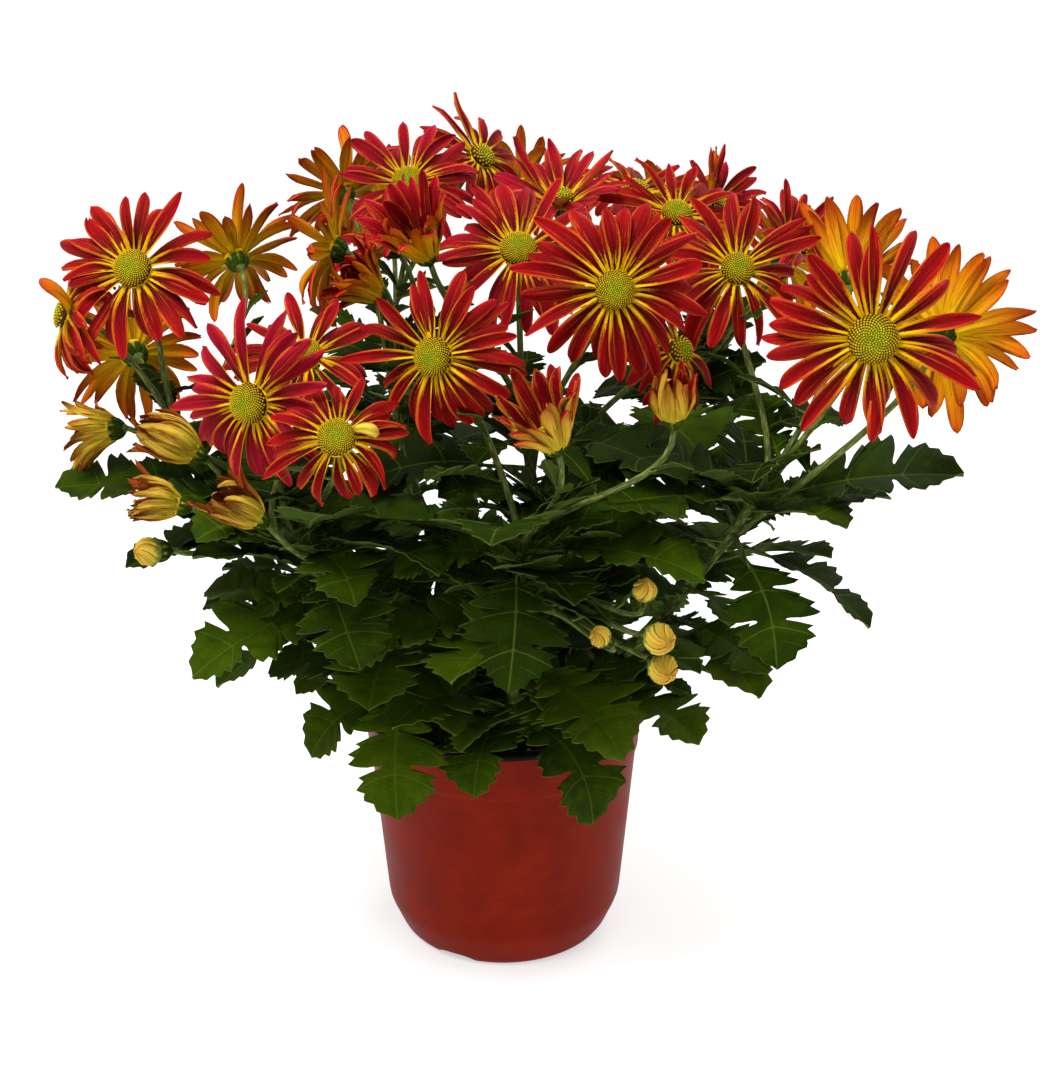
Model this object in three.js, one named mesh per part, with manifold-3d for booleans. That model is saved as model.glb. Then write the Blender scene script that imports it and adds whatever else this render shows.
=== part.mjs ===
// Potted chrysanthemum: a plastic pot of peat with seven leafy stems, their flower heads and their buds.
// Millimetres, +Z up. The front is -Y, and the origin is the middle of the pot's flat underside.

import * as THREE from "three";
import { mergeVertices } from "three/addons/utils/BufferGeometryUtils.js";
import Module from "manifold-3d";

const wasm = await Module();
wasm.setup();

// Driving dimensions of the pot
const POT_HEIGHT = 118;
const LIP_RADIUS = 70;
const LIP_WIDTH = 5.4;
const LIP_DROP = 2.8;
const WALL = 1.2;
const WALL_TOP_RADIUS = 64.6;
const BAND_RADIUS = 62.5;
const BAND_HEIGHT = 93;
const BAND_STEP = 0.8;
const SHOULDER_RADIUS = 55;
const SHOULDER_HEIGHT = 16;
const FOOT_RADIUS = 50.2;
const FOOT_HEIGHT = 5;
const BASE_RADIUS = 46.5;

// The drain notches: arches cut from below into the foot, turned in degrees from the front
const DRAIN_COUNT = 4;
const DRAIN_TURN = -27;
const DRAIN_WIDTH = 21;
const DRAIN_HEIGHT = 4;
const DRAIN_SPRING = 1.6;
const DRAIN_CORNER = 1;

// Driving dimensions of the soil and of what stands in it
const SOIL_TOP = 98;
const SOIL_RING = 0.6;
const SOIL_LUMPS = 1.5;
const SOIL_WAVES = [0.31, 0.27];
const SEAT_GAP = 0.35;
const ROOTED_DEPTH = 20;
const COLLAR_HEIGHT = 4;
const UPRIGHT_HEIGHT = 8;

// Driving dimensions of the stems, and of the bare flower stalks with the green cup on which each head sits.
// A stalk sets out along its stem and arrives along the head's axis, each for a share of the way.
const STEM_RADIUS = 3;
const STEM_TOP_RADIUS = 2;
const STALK_RADIUS = 1.35;
const STALK_TAPER = 0.85;
const STALK_LEAVE = 0.34;
const STALK_ARRIVE = 0.26;
const STALK_SAG = 0.1;
const FIRST_STALK = 0.6;
const CUP_HEIGHT = 6;
const CUP_SHARE = 0.82;
const CUP_BELLY = { height: 0.55, radius: 0.8 };

// Driving dimensions of the flower heads. The rings of a dome are [share of its radius, rise as a share of it].
const RIM_HEIGHT = 2.4;
const RIM_FLARE = 0.3;
const CORE_RINGS = [[0.78, 0.34], [0.42, 0.4]];
const CORE_TOP = 0.62;
const DISC_RINGS = [[0.97, 0], [0.86, 0.26], [0.6, 0.42], [0.3, 0.5]];
const DISC_TOP = 0.54;
const DISC_MIDDLE = 0.5;
const FLORET_RISE = 0.7;
const PETAL_SHAPE = 0.27;
const PETAL_DEPTH = 1.4;

// The stations of a petal as [share of its length, share of its width], on a face-on head and on the others
const FINE_STATIONS = [[0.44, 1], [0.82, 0.84]];
const PLAIN_STATIONS = [[0.6, 1]];
const BLUNT_SHARE = 0.6;

// A closed bud, as rings of [share of its radius, share of its length]
const BALL_RINGS = [[0.6, 0], [1, 0.36], [0.8, 0.76]];

// Driving dimensions of the leaves
const LEAF_DEPTH = 1.7;
const LEAF_FOLD = 0.2;
const LEAF_WAVE = 0.025;
const LEAF_RIPPLES = 11;
const PETIOLE_WIDTH = 2.6;
const PETIOLE_FACETS = 7;

// How far apart the pieces that grow past each other stay
const CLEARANCE = 0.9;

// How many facets the round forms have
const POT_SIDES = 20;
const STEM_SIDES = 5;
const STEM_STEPS = 6;
const STALK_SIDES = 5;
const STALK_STEPS = 3;
const BALL_SIDES = 6;
const DISC_SIDES = 8;
const ARCH_SEGMENTS = 2;

const COLOURS = {
  pot: { color: 0x7a2418, roughness: 0.45 },
  soil: { color: 0x1d140e, roughness: 1 },
  leaf: { color: 0x2c4010, roughness: 0.6 },
  petal: { color: 0xa01020, roughness: 0.55 },
  disc: { color: 0x9aa018, roughness: 0.8 },
  bud: { color: 0xd8a830, roughness: 0.6 },
};

// Each leafy stem: where it leaves the soil (x, y), and the points that it climbs through (x, y, z).
const STEMS = [
  { root: [-26, -18], climb: [[-42, -42, 150], [-68, -78, 205], [-84, -104, 232]] },
  { root: [-34, 6], climb: [[-62, -4, 150], [-98, -22, 200], [-122, -40, 232]] },
  { root: [2, -34], climb: [[6, -58, 150], [10, -92, 200], [8, -112, 232]] },
  { root: [6, -8], climb: [[10, -22, 160], [14, -46, 220], [10, -62, 262]] },
  { root: [32, -16], climb: [[56, -34, 150], [86, -66, 205], [102, -86, 240]] },
  { root: [26, 22], climb: [[44, 28, 150], [66, 32, 210], [78, 30, 256]] },
  { root: [-16, 28], climb: [[-26, 40, 150], [-44, 42, 210], [-52, 40, 256]] },
];

// How the petals of a head stand, in degrees from its face: the upper layer's rise at the root, how far the lower
// layer lies below it, and how far a petal has turned by its tip. Hang is what gravity adds to a petal that points
// down.
const HABITS = {
  open: { rise: 15, layer: 13, curl: -26, hang: 26 },
  flat: { rise: 4, layer: 12, curl: -34, hang: 14 },
  cup: { rise: 46, layer: 14, curl: -14, hang: 6 },
  half: { rise: 66, layer: 12, curl: -6, hang: 0 },
  brush: { rise: 74, layer: 10, curl: 12, hang: 0 },
};

// What sets one petal apart from the next, as [middle value, spread], in the order of the draws
const PETAL_NATURE = {
  rise: [0, 4],
  curl: [0, 14],
  length: [0.93, 0.08],
  width: [1, 0.12],
  sway: [0, 4],
  twist: [0, 16],
};

// Each flower head: the middle of its disc (x, y, z), where it faces (azimuth from the front towards +X, and
// elevation), petal length, disc radius, habit, petals in each layer, and the leafy stem that carries it.
// The first nine face the front and have their disc as a piece of its own.
const FACE_ON = 9;
const HEADS = [
  { at: [130, -150, 317], faces: [-5, 12], petal: 33, disc: 8.7, habit: "open", petals: 10, stem: 4 },
  { at: [43, -115, 327], faces: [0, 14], petal: 31, disc: 7.2, habit: "open", petals: 10, stem: 3 },
  { at: [8, -75, 336], faces: [0, 42], petal: 30, disc: 7, habit: "open", petals: 9, stem: 3 },
  { at: [-23, -130, 306], faces: [-20, 12], petal: 28, disc: 7, habit: "open", petals: 9, stem: 2 },
  { at: [-41, 30, 346], faces: [-5, 35], petal: 28, disc: 7, habit: "open", petals: 9, stem: 6 },
  { at: [-141, -70, 327], faces: [-10, 30], petal: 30, disc: 7.4, habit: "open", petals: 9, stem: 1 },
  { at: [-89, -135, 290], faces: [-25, 8], petal: 29, disc: 7.4, habit: "open", petals: 9, stem: 0 },
  { at: [-73, -90, 299], faces: [-10, 50], petal: 27, disc: 6.4, habit: "open", petals: 8, stem: 0 },
  { at: [-54, -160, 286], faces: [0, 34], petal: 22, disc: 6.6, habit: "flat", petals: 8, stem: 0 },
  { at: [-28, -92, 340], faces: [-30, 55], petal: 29, disc: 5.6, habit: "half", petals: 6, stem: 3 },
  { at: [-173, -60, 307], faces: [-70, 20], petal: 25, disc: 5.8, habit: "flat", petals: 7, stem: 1 },
  { at: [-157, -12, 280], faces: [-150, 5], petal: 28, disc: 6.4, habit: "open", petals: 6, stem: 1 },
  { at: [-166, -36, 252], faces: [-100, -6], petal: 19, disc: 5.6, habit: "half", petals: 6, stem: 1 },
  { at: [19, -152, 285], faces: [-42, 62], petal: 27, disc: 5.6, habit: "half", petals: 6, stem: 2 },
  { at: [64, -122, 286], faces: [-20, 72], petal: 20, disc: 4.6, habit: "brush", petals: 5, stem: 2 },
  { at: [-72, -28, 327], faces: [-100, 14], petal: 27, disc: 6.2, habit: "open", petals: 6, stem: 6 },
  { at: [-50, 4, 325], faces: [-70, 48], petal: 26, disc: 5.8, habit: "cup", petals: 6, stem: 6 },
  { at: [-54, -34, 312], faces: [-60, 42], petal: 23, disc: 5, habit: "half", petals: 6, stem: 6 },
  { at: [-74, 55, 340], faces: [-140, 40], petal: 27, disc: 6, habit: "open", petals: 6, stem: 6 },
  { at: [-8, 72, 352], faces: [50, 40], petal: 27, disc: 6, habit: "open", petals: 6, stem: 6 },
  { at: [25, 10, 343], faces: [0, 66], petal: 28, disc: 5.8, habit: "cup", petals: 6, stem: 5 },
  { at: [60, 58, 340], faces: [20, 70], petal: 28, disc: 6, habit: "open", petals: 6, stem: 5 },
  { at: [74, -2, 338], faces: [5, 46], petal: 28, disc: 6.2, habit: "open", petals: 8, stem: 5 },
  { at: [98, 44, 334], faces: [60, 34], petal: 26, disc: 5.8, habit: "cup", petals: 6, stem: 5 },
  { at: [93, -65, 326], faces: [5, 32], petal: 30, disc: 6.4, habit: "open", petals: 8, stem: 4 },
  { at: [129, 16, 322], faces: [50, 48], petal: 26, disc: 5.8, habit: "cup", petals: 6, stem: 5 },
  { at: [138, -56, 324], faces: [170, 40], petal: 31, disc: 6, habit: "cup", petals: 6, stem: 4 },
  { at: [166, -100, 309], faces: [156, 10], petal: 31, disc: 6.2, habit: "open", petals: 7, stem: 4 },
  { at: [72, -76, 296], faces: [40, 24], petal: 24, disc: 5.4, habit: "flat", petals: 6, stem: 3 },
  { at: [-124, 62, 308], faces: [-150, 30], petal: 29, disc: 6.2, habit: "open", petals: 6, stem: 1 },
  { at: [-58, 122, 322], faces: [-165, 34], petal: 29, disc: 6.2, habit: "open", petals: 6, stem: 6 },
  { at: [8, 140, 330], faces: [175, 38], petal: 29, disc: 6.2, habit: "open", petals: 6, stem: 6 },
  { at: [74, 118, 320], faces: [160, 34], petal: 29, disc: 6.2, habit: "open", petals: 6, stem: 5 },
  { at: [134, 82, 304], faces: [140, 26], petal: 29, disc: 6.2, habit: "open", petals: 6, stem: 5 },
];

// The half-open buds at the left, each a brush of upright young petals, given like the heads.
const BRUSHES = [
  { at: [-120, -93, 262], faces: [-78, 38], petal: 25, disc: 4.6, habit: "brush", petals: 5, stem: 1 },
  { at: [-126, -104, 243], faces: [-76, 20], petal: 19, disc: 4.2, habit: "brush", petals: 5, stem: 1 },
  { at: [-92, -124, 246], faces: [-62, 42], petal: 20, disc: 4.4, habit: "brush", petals: 5, stem: 0 },
];

// The closed round buds: the middle of the seat (x, y, z), where it points, length, radius and stem.
const BALLS = [
  { at: [-132, -98, 221], faces: [-50, 10], long: 10, wide: 5, stem: 1 },
  { at: [55, -130, 215], faces: [0, 60], long: 8, wide: 4, stem: 2 },
  { at: [58, -136, 201], faces: [30, 10], long: 11, wide: 5.4, stem: 2 },
  { at: [40, -134, 199], faces: [-40, 40], long: 7, wide: 3.5, stem: 2 },
  { at: [61, -130, 187], faces: [20, 0], long: 10, wide: 5.2, stem: 2 },
];

// Leaves that show from the front, placed one by one: stem, the share of its length where the leaf stands, heading
// (degrees from +X, so -90 is the front), length, rise of the petiole, and how far the blade bends down by its tip.
const SHOWN_PETIOLE = 14;
const SHOWN_SEED = 200;
const SHOWN_LEAVES = [
  { stem: 4, share: 0.97, heading: -12, length: 68, rise: 20, droop: 20 },
  { stem: 4, share: 0.86, heading: -74, length: 50, rise: -26, droop: 34 },
  { stem: 4, share: 0.82, heading: -26, length: 54, rise: -8, droop: 40 },
  { stem: 4, share: 0.72, heading: 196, length: 62, rise: 8, droop: 30 },
  { stem: 4, share: 0.88, heading: 120, length: 64, rise: 40, droop: 40 },
  { stem: 4, share: 0.98, heading: 206, length: 60, rise: 14, droop: 22 },
  { stem: 4, share: 0.5, heading: -46, length: 42, rise: 0, droop: 24 },
  { stem: 4, share: 0.14, heading: -44, length: 50, rise: 16, droop: 50 },
  { stem: 2, share: 0.95, heading: -96, length: 48, rise: -30, droop: 44 },
  { stem: 2, share: 0.97, heading: 168, length: 66, rise: 12, droop: 22 },
  { stem: 2, share: 0.93, heading: -20, length: 62, rise: 14, droop: 36 },
  { stem: 2, share: 0.1, heading: -54, length: 62, rise: 18, droop: 96 },
  { stem: 2, share: 0.05, heading: -104, length: 50, rise: 18, droop: 90 },
  { stem: 2, share: 0.4, heading: -52, length: 60, rise: 6, droop: 50 },
  { stem: 2, share: 0.66, heading: 196, length: 60, rise: 6, droop: 44 },
  { stem: 0, share: 0.62, heading: -150, length: 60, rise: -2, droop: 34 },
  { stem: 0, share: 0.3, heading: -74, length: 56, rise: -26, droop: 44 },
  { stem: 0, share: 0.56, heading: 182, length: 58, rise: 10, droop: 26 },
  { stem: 0, share: 0.12, heading: -158, length: 54, rise: 18, droop: 84 },
  { stem: 0, share: 0.82, heading: -66, length: 48, rise: -12, droop: 40 },
  { stem: 1, share: 0.74, heading: 198, length: 52, rise: 2, droop: 24 },
  { stem: 1, share: 0.96, heading: 188, length: 54, rise: 8, droop: 14 },
  { stem: 1, share: 0.36, heading: 204, length: 58, rise: -4, droop: 34 },
  { stem: 3, share: 0.95, heading: -52, length: 62, rise: 12, droop: 40 },
  { stem: 3, share: 0.86, heading: 184, length: 58, rise: 8, droop: 30 },
];

// The other leaves spiral up each stem, from the first one's share of the stem to the last one's. Low leaves are
// long and hang, and high ones are short and stand out.
const SPIRAL_LEAVES = 7;
const SPIRAL_SEED = 100;
const FIRST_LEAF = 0.06;
const LAST_LEAF = 0.97;
const SPIRAL = 137.5;
const LOW_LEAF = { length: 64, petiole: 15, rise: 26, droop: 66 };
const HIGH_LEAF = { length: 56, petiole: 11, rise: 34, droop: 46 };
const LEAF_SPREAD = { heading: 14, length: 6, petiole: 3, rise: 8, droop: 14, roll: 14, phase: 3 };

// Half of a leaf's outline from petiole to tip, as shares of its length: three lobes with cuts between.
const LEAF_OUTLINE = [
  [0.14, 0.07],
  [0.27, 0.26],
  [0.38, 0.12],
  [0.55, 0.36],
  [0.67, 0.16],
  [0.83, 0.21],
];
const LEAF_RIB = [0.3, 0.67];

// What a petal, a leaf or a stalk tries, in this order, until it is clear of its neighbours: bent and turned by these
// degrees, grown to these shares of its length, and bowed sideways by these millimetres.
const PETAL_SHARES = [1, 0.84, 0.68, 0.5];
const PETAL_BENDS = [0, 26, -26, 52, -52, 80, -80, 112];
const PETAL_TURNS = [0, 9, -9];
const LEAF_SHARES = [1, 0.84, 0.7];
const LEAF_BENDS = [0, 14, -14, 28, -28, 44];
const LEAF_TURNS = [0, 18, -18, 36, -36];
const STALK_BOWS = [0, 7, -7, 14, -14, 21, -21, 30, -30];

const vec = (x, y, z) => new THREE.Vector3(x, y, z);
const radians = THREE.MathUtils.degToRad;
const SIDE = vec(1, 0, 0);
const UP = vec(0, 0, 1);

// A steady source of small differences, so that no two petals are alike and each build is the same.
class Dice {
  constructor(seed) {
    this.state = seed >>> 0;
    this.roll();
  }
  roll() {
    this.state = (Math.imul(this.state, 1664525) + 1013904223) >>> 0;
    return this.state / 4294967296;
  }
  around(middle, spread) {
    return middle + spread * (2 * this.roll() - 1);
  }
}

// The direction that something faces, from its azimuth and elevation in degrees.
function facing([azimuth, elevation]) {
  const a = radians(azimuth);
  const e = radians(elevation);
  return vec(Math.sin(a) * Math.cos(e), -Math.cos(a) * Math.cos(e), Math.sin(e));
}

// The frame of a head or bud: Z the way it faces, X level, Y the upper side.
function frameOf(place, faces) {
  const z = facing(faces);
  const x = UP.clone().cross(z).normalize();
  const y = z.clone().cross(x);
  return new THREE.Matrix4().makeBasis(x, y, z).setPosition(place);
}

// A point on an arc that sets out from start at one angle above a level direction and ends at another.
function arcPoint(start, level, upward, length, from, to, share) {
  const turn = radians(to - from) * share;
  const middle = radians(from) + turn / 2;
  const straight = Math.abs(turn) < 1e-6;
  const chord = straight ? length * share : (2 * length * share * Math.sin(turn / 2)) / turn;
  return start
    .clone()
    .addScaledVector(level, chord * Math.cos(middle))
    .addScaledVector(upward, chord * Math.sin(middle));
}

// Points round a level circle, the first of them at a turn given as a share of the step between two.
function circle(radius, height, count, shift = 0) {
  return Array.from({ length: count }, (_, i) => {
    const angle = (2 * Math.PI * (i + shift)) / count;
    return vec(radius * Math.cos(angle), radius * Math.sin(angle), height);
  });
}

// A closed surface that is built facet by facet.
class Skin {
  points = [];
  facets = [];
  add(point) {
    return this.points.push(point) - 1;
  }
  ring(points) {
    return points.map((point) => this.add(point));
  }
  facet(a, b, c) {
    this.facets.push([a, b, c]);
  }
  // The side between two rings of as many points, the second one further out.
  band(inner, outer) {
    inner.forEach((a, i) => {
      const next = (i + 1) % inner.length;
      this.facet(a, inner[next], outer[next]);
      this.facet(a, outer[next], outer[i]);
    });
  }
  // The side between two rings where each point of the second lies between two of the first.
  zigzag(inner, outer) {
    inner.forEach((a, i) => {
      const next = (i + 1) % inner.length;
      this.facet(a, inner[next], outer[i]);
      this.facet(inner[next], outer[next], outer[i]);
    });
  }
  fan(ring, tip) {
    ring.forEach((a, i) => this.facet(a, ring[(i + 1) % ring.length], tip));
  }
  // Two edges that run side by side, as seen from outside with the first one on the left.
  zip(left, right) {
    let i = 0;
    let j = 0;
    while (i < left.length - 1 || j < right.length - 1) {
      const leftNext = i < left.length - 1 ? left[i + 1].share : Infinity;
      const rightNext = j < right.length - 1 ? right[j + 1].share : Infinity;
      if (leftNext < rightNext) {
        this.facet(left[i].id, right[j].id, left[i + 1].id);
        i += 1;
      } else {
        this.facet(left[i].id, right[j].id, right[j + 1].id);
        j += 1;
      }
    }
    return [left[i].id, right[j].id];
  }
  triangles(owner, placed = new THREE.Matrix4(), first = 0) {
    const at = this.points.map((point) => point.clone().applyMatrix4(placed));
    return this.facets.slice(first).map(([a, b, c]) => makeFacet(at[a], at[b], at[c], owner));
  }
  geometry() {
    const positions = this.points.flatMap((point) => point.toArray());
    const geometry = new THREE.BufferGeometry();
    geometry.setAttribute("position", new THREE.Float32BufferAttribute(positions, 3));
    geometry.setIndex(this.facets.flat());
    geometry.computeVertexNormals();
    return geometry;
  }
  solid() {
    return solidOf(this.geometry());
  }
}

// A mesh as a solid that can be cut or joined, and back.
function solidOf(geometry) {
  const bare = geometry.clone();
  bare.deleteAttribute("normal");
  bare.deleteAttribute("uv");
  const merged = mergeVertices(bare, 1e-4);
  return new wasm.Manifold(
    new wasm.Mesh({
      numProp: 3,
      vertProperties: merged.attributes.position.array,
      triVerts: new Uint32Array(merged.index.array),
    }),
  );
}

function geometryOf(solid) {
  const mesh = solid.getMesh();
  const geometry = new THREE.BufferGeometry();
  geometry.setAttribute("position", new THREE.BufferAttribute(mesh.vertProperties, 3));
  geometry.setIndex(new THREE.BufferAttribute(mesh.triVerts, 1));
  geometry.computeVertexNormals();
  return geometry;
}

function named(name, geometry, look) {
  const mesh = new THREE.Mesh(geometry, new THREE.MeshStandardMaterial({ ...COLOURS[look], metalness: 0 }));
  mesh.name = name;
  return mesh;
}

function turnedProfile(profile) {
  const points = profile.map(([radius, height]) => new THREE.Vector2(radius, height));
  return new THREE.LatheGeometry(points, POT_SIDES).rotateX(Math.PI / 2);
}

// The facets that are in place, sorted into cells, to tell whether a new piece would cross one.
const CELL = 14;
class Crowd {
  cells = new Map();
  keysOf(box) {
    const keys = [];
    const low = box.min.clone().divideScalar(CELL).floor();
    const high = box.max.clone().divideScalar(CELL).floor();
    for (let i = low.x; i <= high.x; i++)
      for (let j = low.y; j <= high.y; j++)
        for (let k = low.z; k <= high.z; k++) keys.push([i, j, k].join());
    return keys;
  }
  add(facets) {
    for (const facet of facets) {
      for (const key of this.keysOf(facet.box)) {
        if (!this.cells.has(key)) this.cells.set(key, []);
        this.cells.get(key).push(facet);
      }
    }
  }
  // Whether a new facet crosses one in place whose owner counts.
  crosses(facets, counts = () => true) {
    return facets.some((facet) =>
      this.keysOf(facet.box).some((key) =>
        (this.cells.get(key) ?? []).some(
          (other) => counts(other.owner) && other.box.intersectsBox(facet.box) && facetsCross(facet, other),
        ),
      ),
    );
  }
}

function makeFacet(a, b, c, owner) {
  return { triangle: new THREE.Triangle(a, b, c), owner, box: new THREE.Box3().setFromPoints([a, b, c]) };
}

const ray = new THREE.Ray();
const spot = new THREE.Vector3();
function pierces(start, end, { a, b, c }) {
  ray.origin.copy(start);
  ray.direction.subVectors(end, start);
  const length = ray.direction.length();
  ray.direction.divideScalar(length);
  return ray.intersectTriangle(a, b, c, false, spot) !== null && spot.distanceTo(start) <= length;
}

// Whether two facets cross. Neighbours on one surface, which share a corner, don't count as crossing.
function facetsCross({ triangle: p }, { triangle: q }) {
  const shared = (corner) => corner.equals(q.a) || corner.equals(q.b) || corner.equals(q.c);
  if (shared(p.a) || shared(p.b) || shared(p.c)) return false;
  return (
    pierces(p.a, p.b, q) || pierces(p.b, p.c, q) || pierces(p.c, p.a, q) ||
    pierces(q.a, q.b, p) || pierces(q.b, q.c, p) || pierces(q.c, q.a, p)
  );
}

// The pot: one thin shell with a flat lip, a band below it and a foot ring, cut by its drain notches.
function makePot() {
  const shell = turnedProfile([
    [0, 0],
    [BASE_RADIUS, 0],
    [FOOT_RADIUS - WALL, FOOT_HEIGHT / 2],
    [FOOT_RADIUS, FOOT_HEIGHT],
    [SHOULDER_RADIUS, SHOULDER_HEIGHT],
    [BAND_RADIUS - BAND_STEP, BAND_HEIGHT - BAND_STEP],
    [BAND_RADIUS, BAND_HEIGHT],
    [WALL_TOP_RADIUS, POT_HEIGHT - WALL],
    [LIP_RADIUS - WALL, POT_HEIGHT - WALL],
    [LIP_RADIUS - WALL, POT_HEIGHT - LIP_DROP],
    [LIP_RADIUS, POT_HEIGHT - LIP_DROP],
    [LIP_RADIUS, POT_HEIGHT],
    [LIP_RADIUS - LIP_WIDTH - WALL, POT_HEIGHT],
    [BAND_RADIUS - BAND_STEP - WALL, BAND_HEIGHT - BAND_STEP],
    [SHOULDER_RADIUS - WALL, SHOULDER_HEIGHT],
    [FOOT_RADIUS - WALL / 2, FOOT_HEIGHT + 2 * WALL],
    [BASE_RADIUS - WALL, WALL],
    [0, WALL],
  ]);
  let pot = solidOf(shell);
  for (let i = 0; i < DRAIN_COUNT; i++) {
    pot = pot.subtract(drainCutter(DRAIN_TURN + (360 / DRAIN_COUNT) * i));
  }
  return named("pot", geometryOf(pot), "pot");
}

// What is cut away for one arched notch, from just inside the foot to well outside it.
function drainCutter(turn) {
  const half = DRAIN_WIDTH / 2;
  const arch = new THREE.Shape();
  arch.moveTo(-half, -DRAIN_CORNER);
  arch.lineTo(half, -DRAIN_CORNER);
  arch.lineTo(half, DRAIN_SPRING);
  arch.quadraticCurveTo(half - DRAIN_CORNER, DRAIN_HEIGHT, 0, DRAIN_HEIGHT);
  arch.quadraticCurveTo(DRAIN_CORNER - half, DRAIN_HEIGHT, -half, DRAIN_SPRING);
  const cutter = new THREE.ExtrudeGeometry(arch, {
    depth: FOOT_RADIUS,
    bevelEnabled: false,
    curveSegments: ARCH_SEGMENTS,
  });
  cutter.translate(0, 0, BASE_RADIUS - 4 * WALL);
  cutter.rotateX(Math.PI / 2);
  cutter.rotateZ(radians(turn));
  return solidOf(cutter);
}

// The soil: it fills the pot up to SOIL_TOP, with an uneven top and a plain hole for each stem.
function makeSoil() {
  const gap = WALL + SEAT_GAP;
  const slope = (BAND_RADIUS - SHOULDER_RADIUS - BAND_STEP) / (BAND_HEIGHT - SHOULDER_HEIGHT - BAND_STEP);
  const topRadius = SHOULDER_RADIUS - gap + slope * (SOIL_TOP - SHOULDER_HEIGHT);
  const fill = turnedProfile([
    [0, gap],
    [BASE_RADIUS - gap, gap],
    [SHOULDER_RADIUS - gap, SHOULDER_HEIGHT],
    [topRadius, SOIL_TOP],
    [topRadius * SOIL_RING, SOIL_TOP],
    [0, SOIL_TOP],
  ]);
  const place = fill.attributes.position;
  const [alongX, alongY] = SOIL_WAVES;
  for (let i = 0; i < place.count; i++) {
    const [x, y, z] = [place.getX(i), place.getY(i), place.getZ(i)];
    const inside = z > SOIL_TOP - 1 && Math.hypot(x, y) < topRadius - 1;
    if (inside) place.setZ(i, z + SOIL_LUMPS * Math.sin(alongX * x + 1) * Math.cos(alongY * y));
  }
  let soil = solidOf(fill);
  for (const { root } of STEMS) {
    const radius = STEM_RADIUS + SEAT_GAP / Math.cos(Math.PI / STEM_SIDES);
    const floor = SOIL_TOP - ROOTED_DEPTH - SEAT_GAP;
    const above = SOIL_TOP + ROOTED_DEPTH;
    const hole = tube([floor, above].map((z) => levelRing(root, z, radius)));
    soil = soil.subtract(hole.solid());
  }
  return named("soil", geometryOf(soil), "soil");
}

function levelRing([x, y], z, radius) {
  return circle(radius, z, STEM_SIDES).map((point) => point.add(vec(x, y, 0)));
}

// A closed tube through rings of as many points each, from its lower end to its upper end.
function tube(rings) {
  const skin = new Skin();
  const ids = rings.map((points) => skin.ring(points));
  ids.slice(1).forEach((ring, i) => skin.band(ids[i], ring));
  const [first, last] = [ids[0], ids[ids.length - 1]];
  for (let i = 1; i < first.length - 1; i++) {
    skin.facet(first[0], first[i + 1], first[i]);
    skin.facet(last[0], last[i], last[i + 1]);
  }
  return skin;
}

// Rings along a curve, whose radius goes evenly from one value to another.
function ringsAlong(curve, steps, sides, from, to) {
  const frames = curve.computeFrenetFrames(steps, false);
  return Array.from({ length: steps + 1 }, (_, k) => {
    const share = k / steps;
    const centre = curve.getPointAt(share);
    return circle(from + (to - from) * share, 0, sides).map(({ x, y }) =>
      centre.clone().addScaledVector(frames.normals[k], x).addScaledVector(frames.binormals[k], y),
    );
  });
}

// The middle line of a leafy stem above the soil.
function stemCurve({ root, climb }) {
  const start = vec(root[0], root[1], SOIL_TOP + UPRIGHT_HEIGHT);
  return new THREE.CatmullRomCurve3([start, ...climb.map((point) => vec(...point))]);
}

function makeStem(stem) {
  const rooted = levelRing(stem.root, SOIL_TOP - ROOTED_DEPTH, STEM_RADIUS);
  const collar = levelRing(stem.root, SOIL_TOP + COLLAR_HEIGHT, STEM_RADIUS);
  const climbing = ringsAlong(stemCurve(stem), STEM_STEPS, STEM_SIDES, STEM_RADIUS, STEM_TOP_RADIUS);
  // The climbing rings start where the collar's do, so the tube doesn't twist.
  const turned = climbing.map((ring) => alignRing(ring, collar));
  return tube([rooted, collar, ...turned.slice(1)]);
}

// The ring with its points counted from the one that lies nearest in direction to the model ring's first.
function alignRing(ring, model) {
  const middle = (points) => points.reduce((sum, p) => sum.add(p), vec(0, 0, 0)).divideScalar(points.length);
  const [centre, modelCentre] = [middle(ring), middle(model)];
  const wanted = model[0].clone().sub(modelCentre).normalize();
  const match = (point) => point.clone().sub(centre).normalize().dot(wanted);
  const best = ring.reduce((found, point, i) => (match(point) > match(ring[found]) ? i : found), 0);
  return [...ring.slice(best), ...ring.slice(0, best)];
}

// The flower stalk from a leafy stem to the seat of a head or bud, with the green cup that the head sits on.
// The bow moves its middle sideways, to keep clear of others.
function makeStalk(stem, share, seat, radius, bow, spare) {
  const curve = stemCurve(stem);
  const start = curve.getPointAt(share);
  const side = SIDE.clone().transformDirection(seat);
  const end = vec(0, 0, -SEAT_GAP - CUP_HEIGHT).applyMatrix4(seat);
  const reach = start.distanceTo(end);
  const leave = start.clone().addScaledVector(curve.getTangentAt(share), STALK_LEAVE * reach);
  const arrive = end.clone().addScaledVector(UP.clone().transformDirection(seat), -STALK_ARRIVE * reach);
  arrive.z -= STALK_SAG * reach;
  const route = new THREE.CubicBezierCurve3(
    start,
    leave.addScaledVector(side, bow),
    arrive.addScaledVector(side, bow),
    end,
  );
  const slim = STALK_RADIUS + spare;
  const rings = ringsAlong(route, STALK_STEPS, STALK_SIDES, slim, STALK_RADIUS * STALK_TAPER + spare);
  const toSeat = seat.clone().invert();
  const turns = rings[rings.length - 1].map((point) => {
    const local = point.clone().applyMatrix4(toSeat);
    return Math.atan2(local.y, local.x);
  });
  const cupRing = (depth, size) =>
    turns.map((turn) =>
      vec((size + spare) * Math.cos(turn), (size + spare) * Math.sin(turn), -depth).applyMatrix4(seat),
    );
  const belly = cupRing(SEAT_GAP + CUP_HEIGHT * CUP_BELLY.height, radius * CUP_BELLY.radius);
  return tube([...rings, belly, cupRing(SEAT_GAP, radius)]);
}

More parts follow.
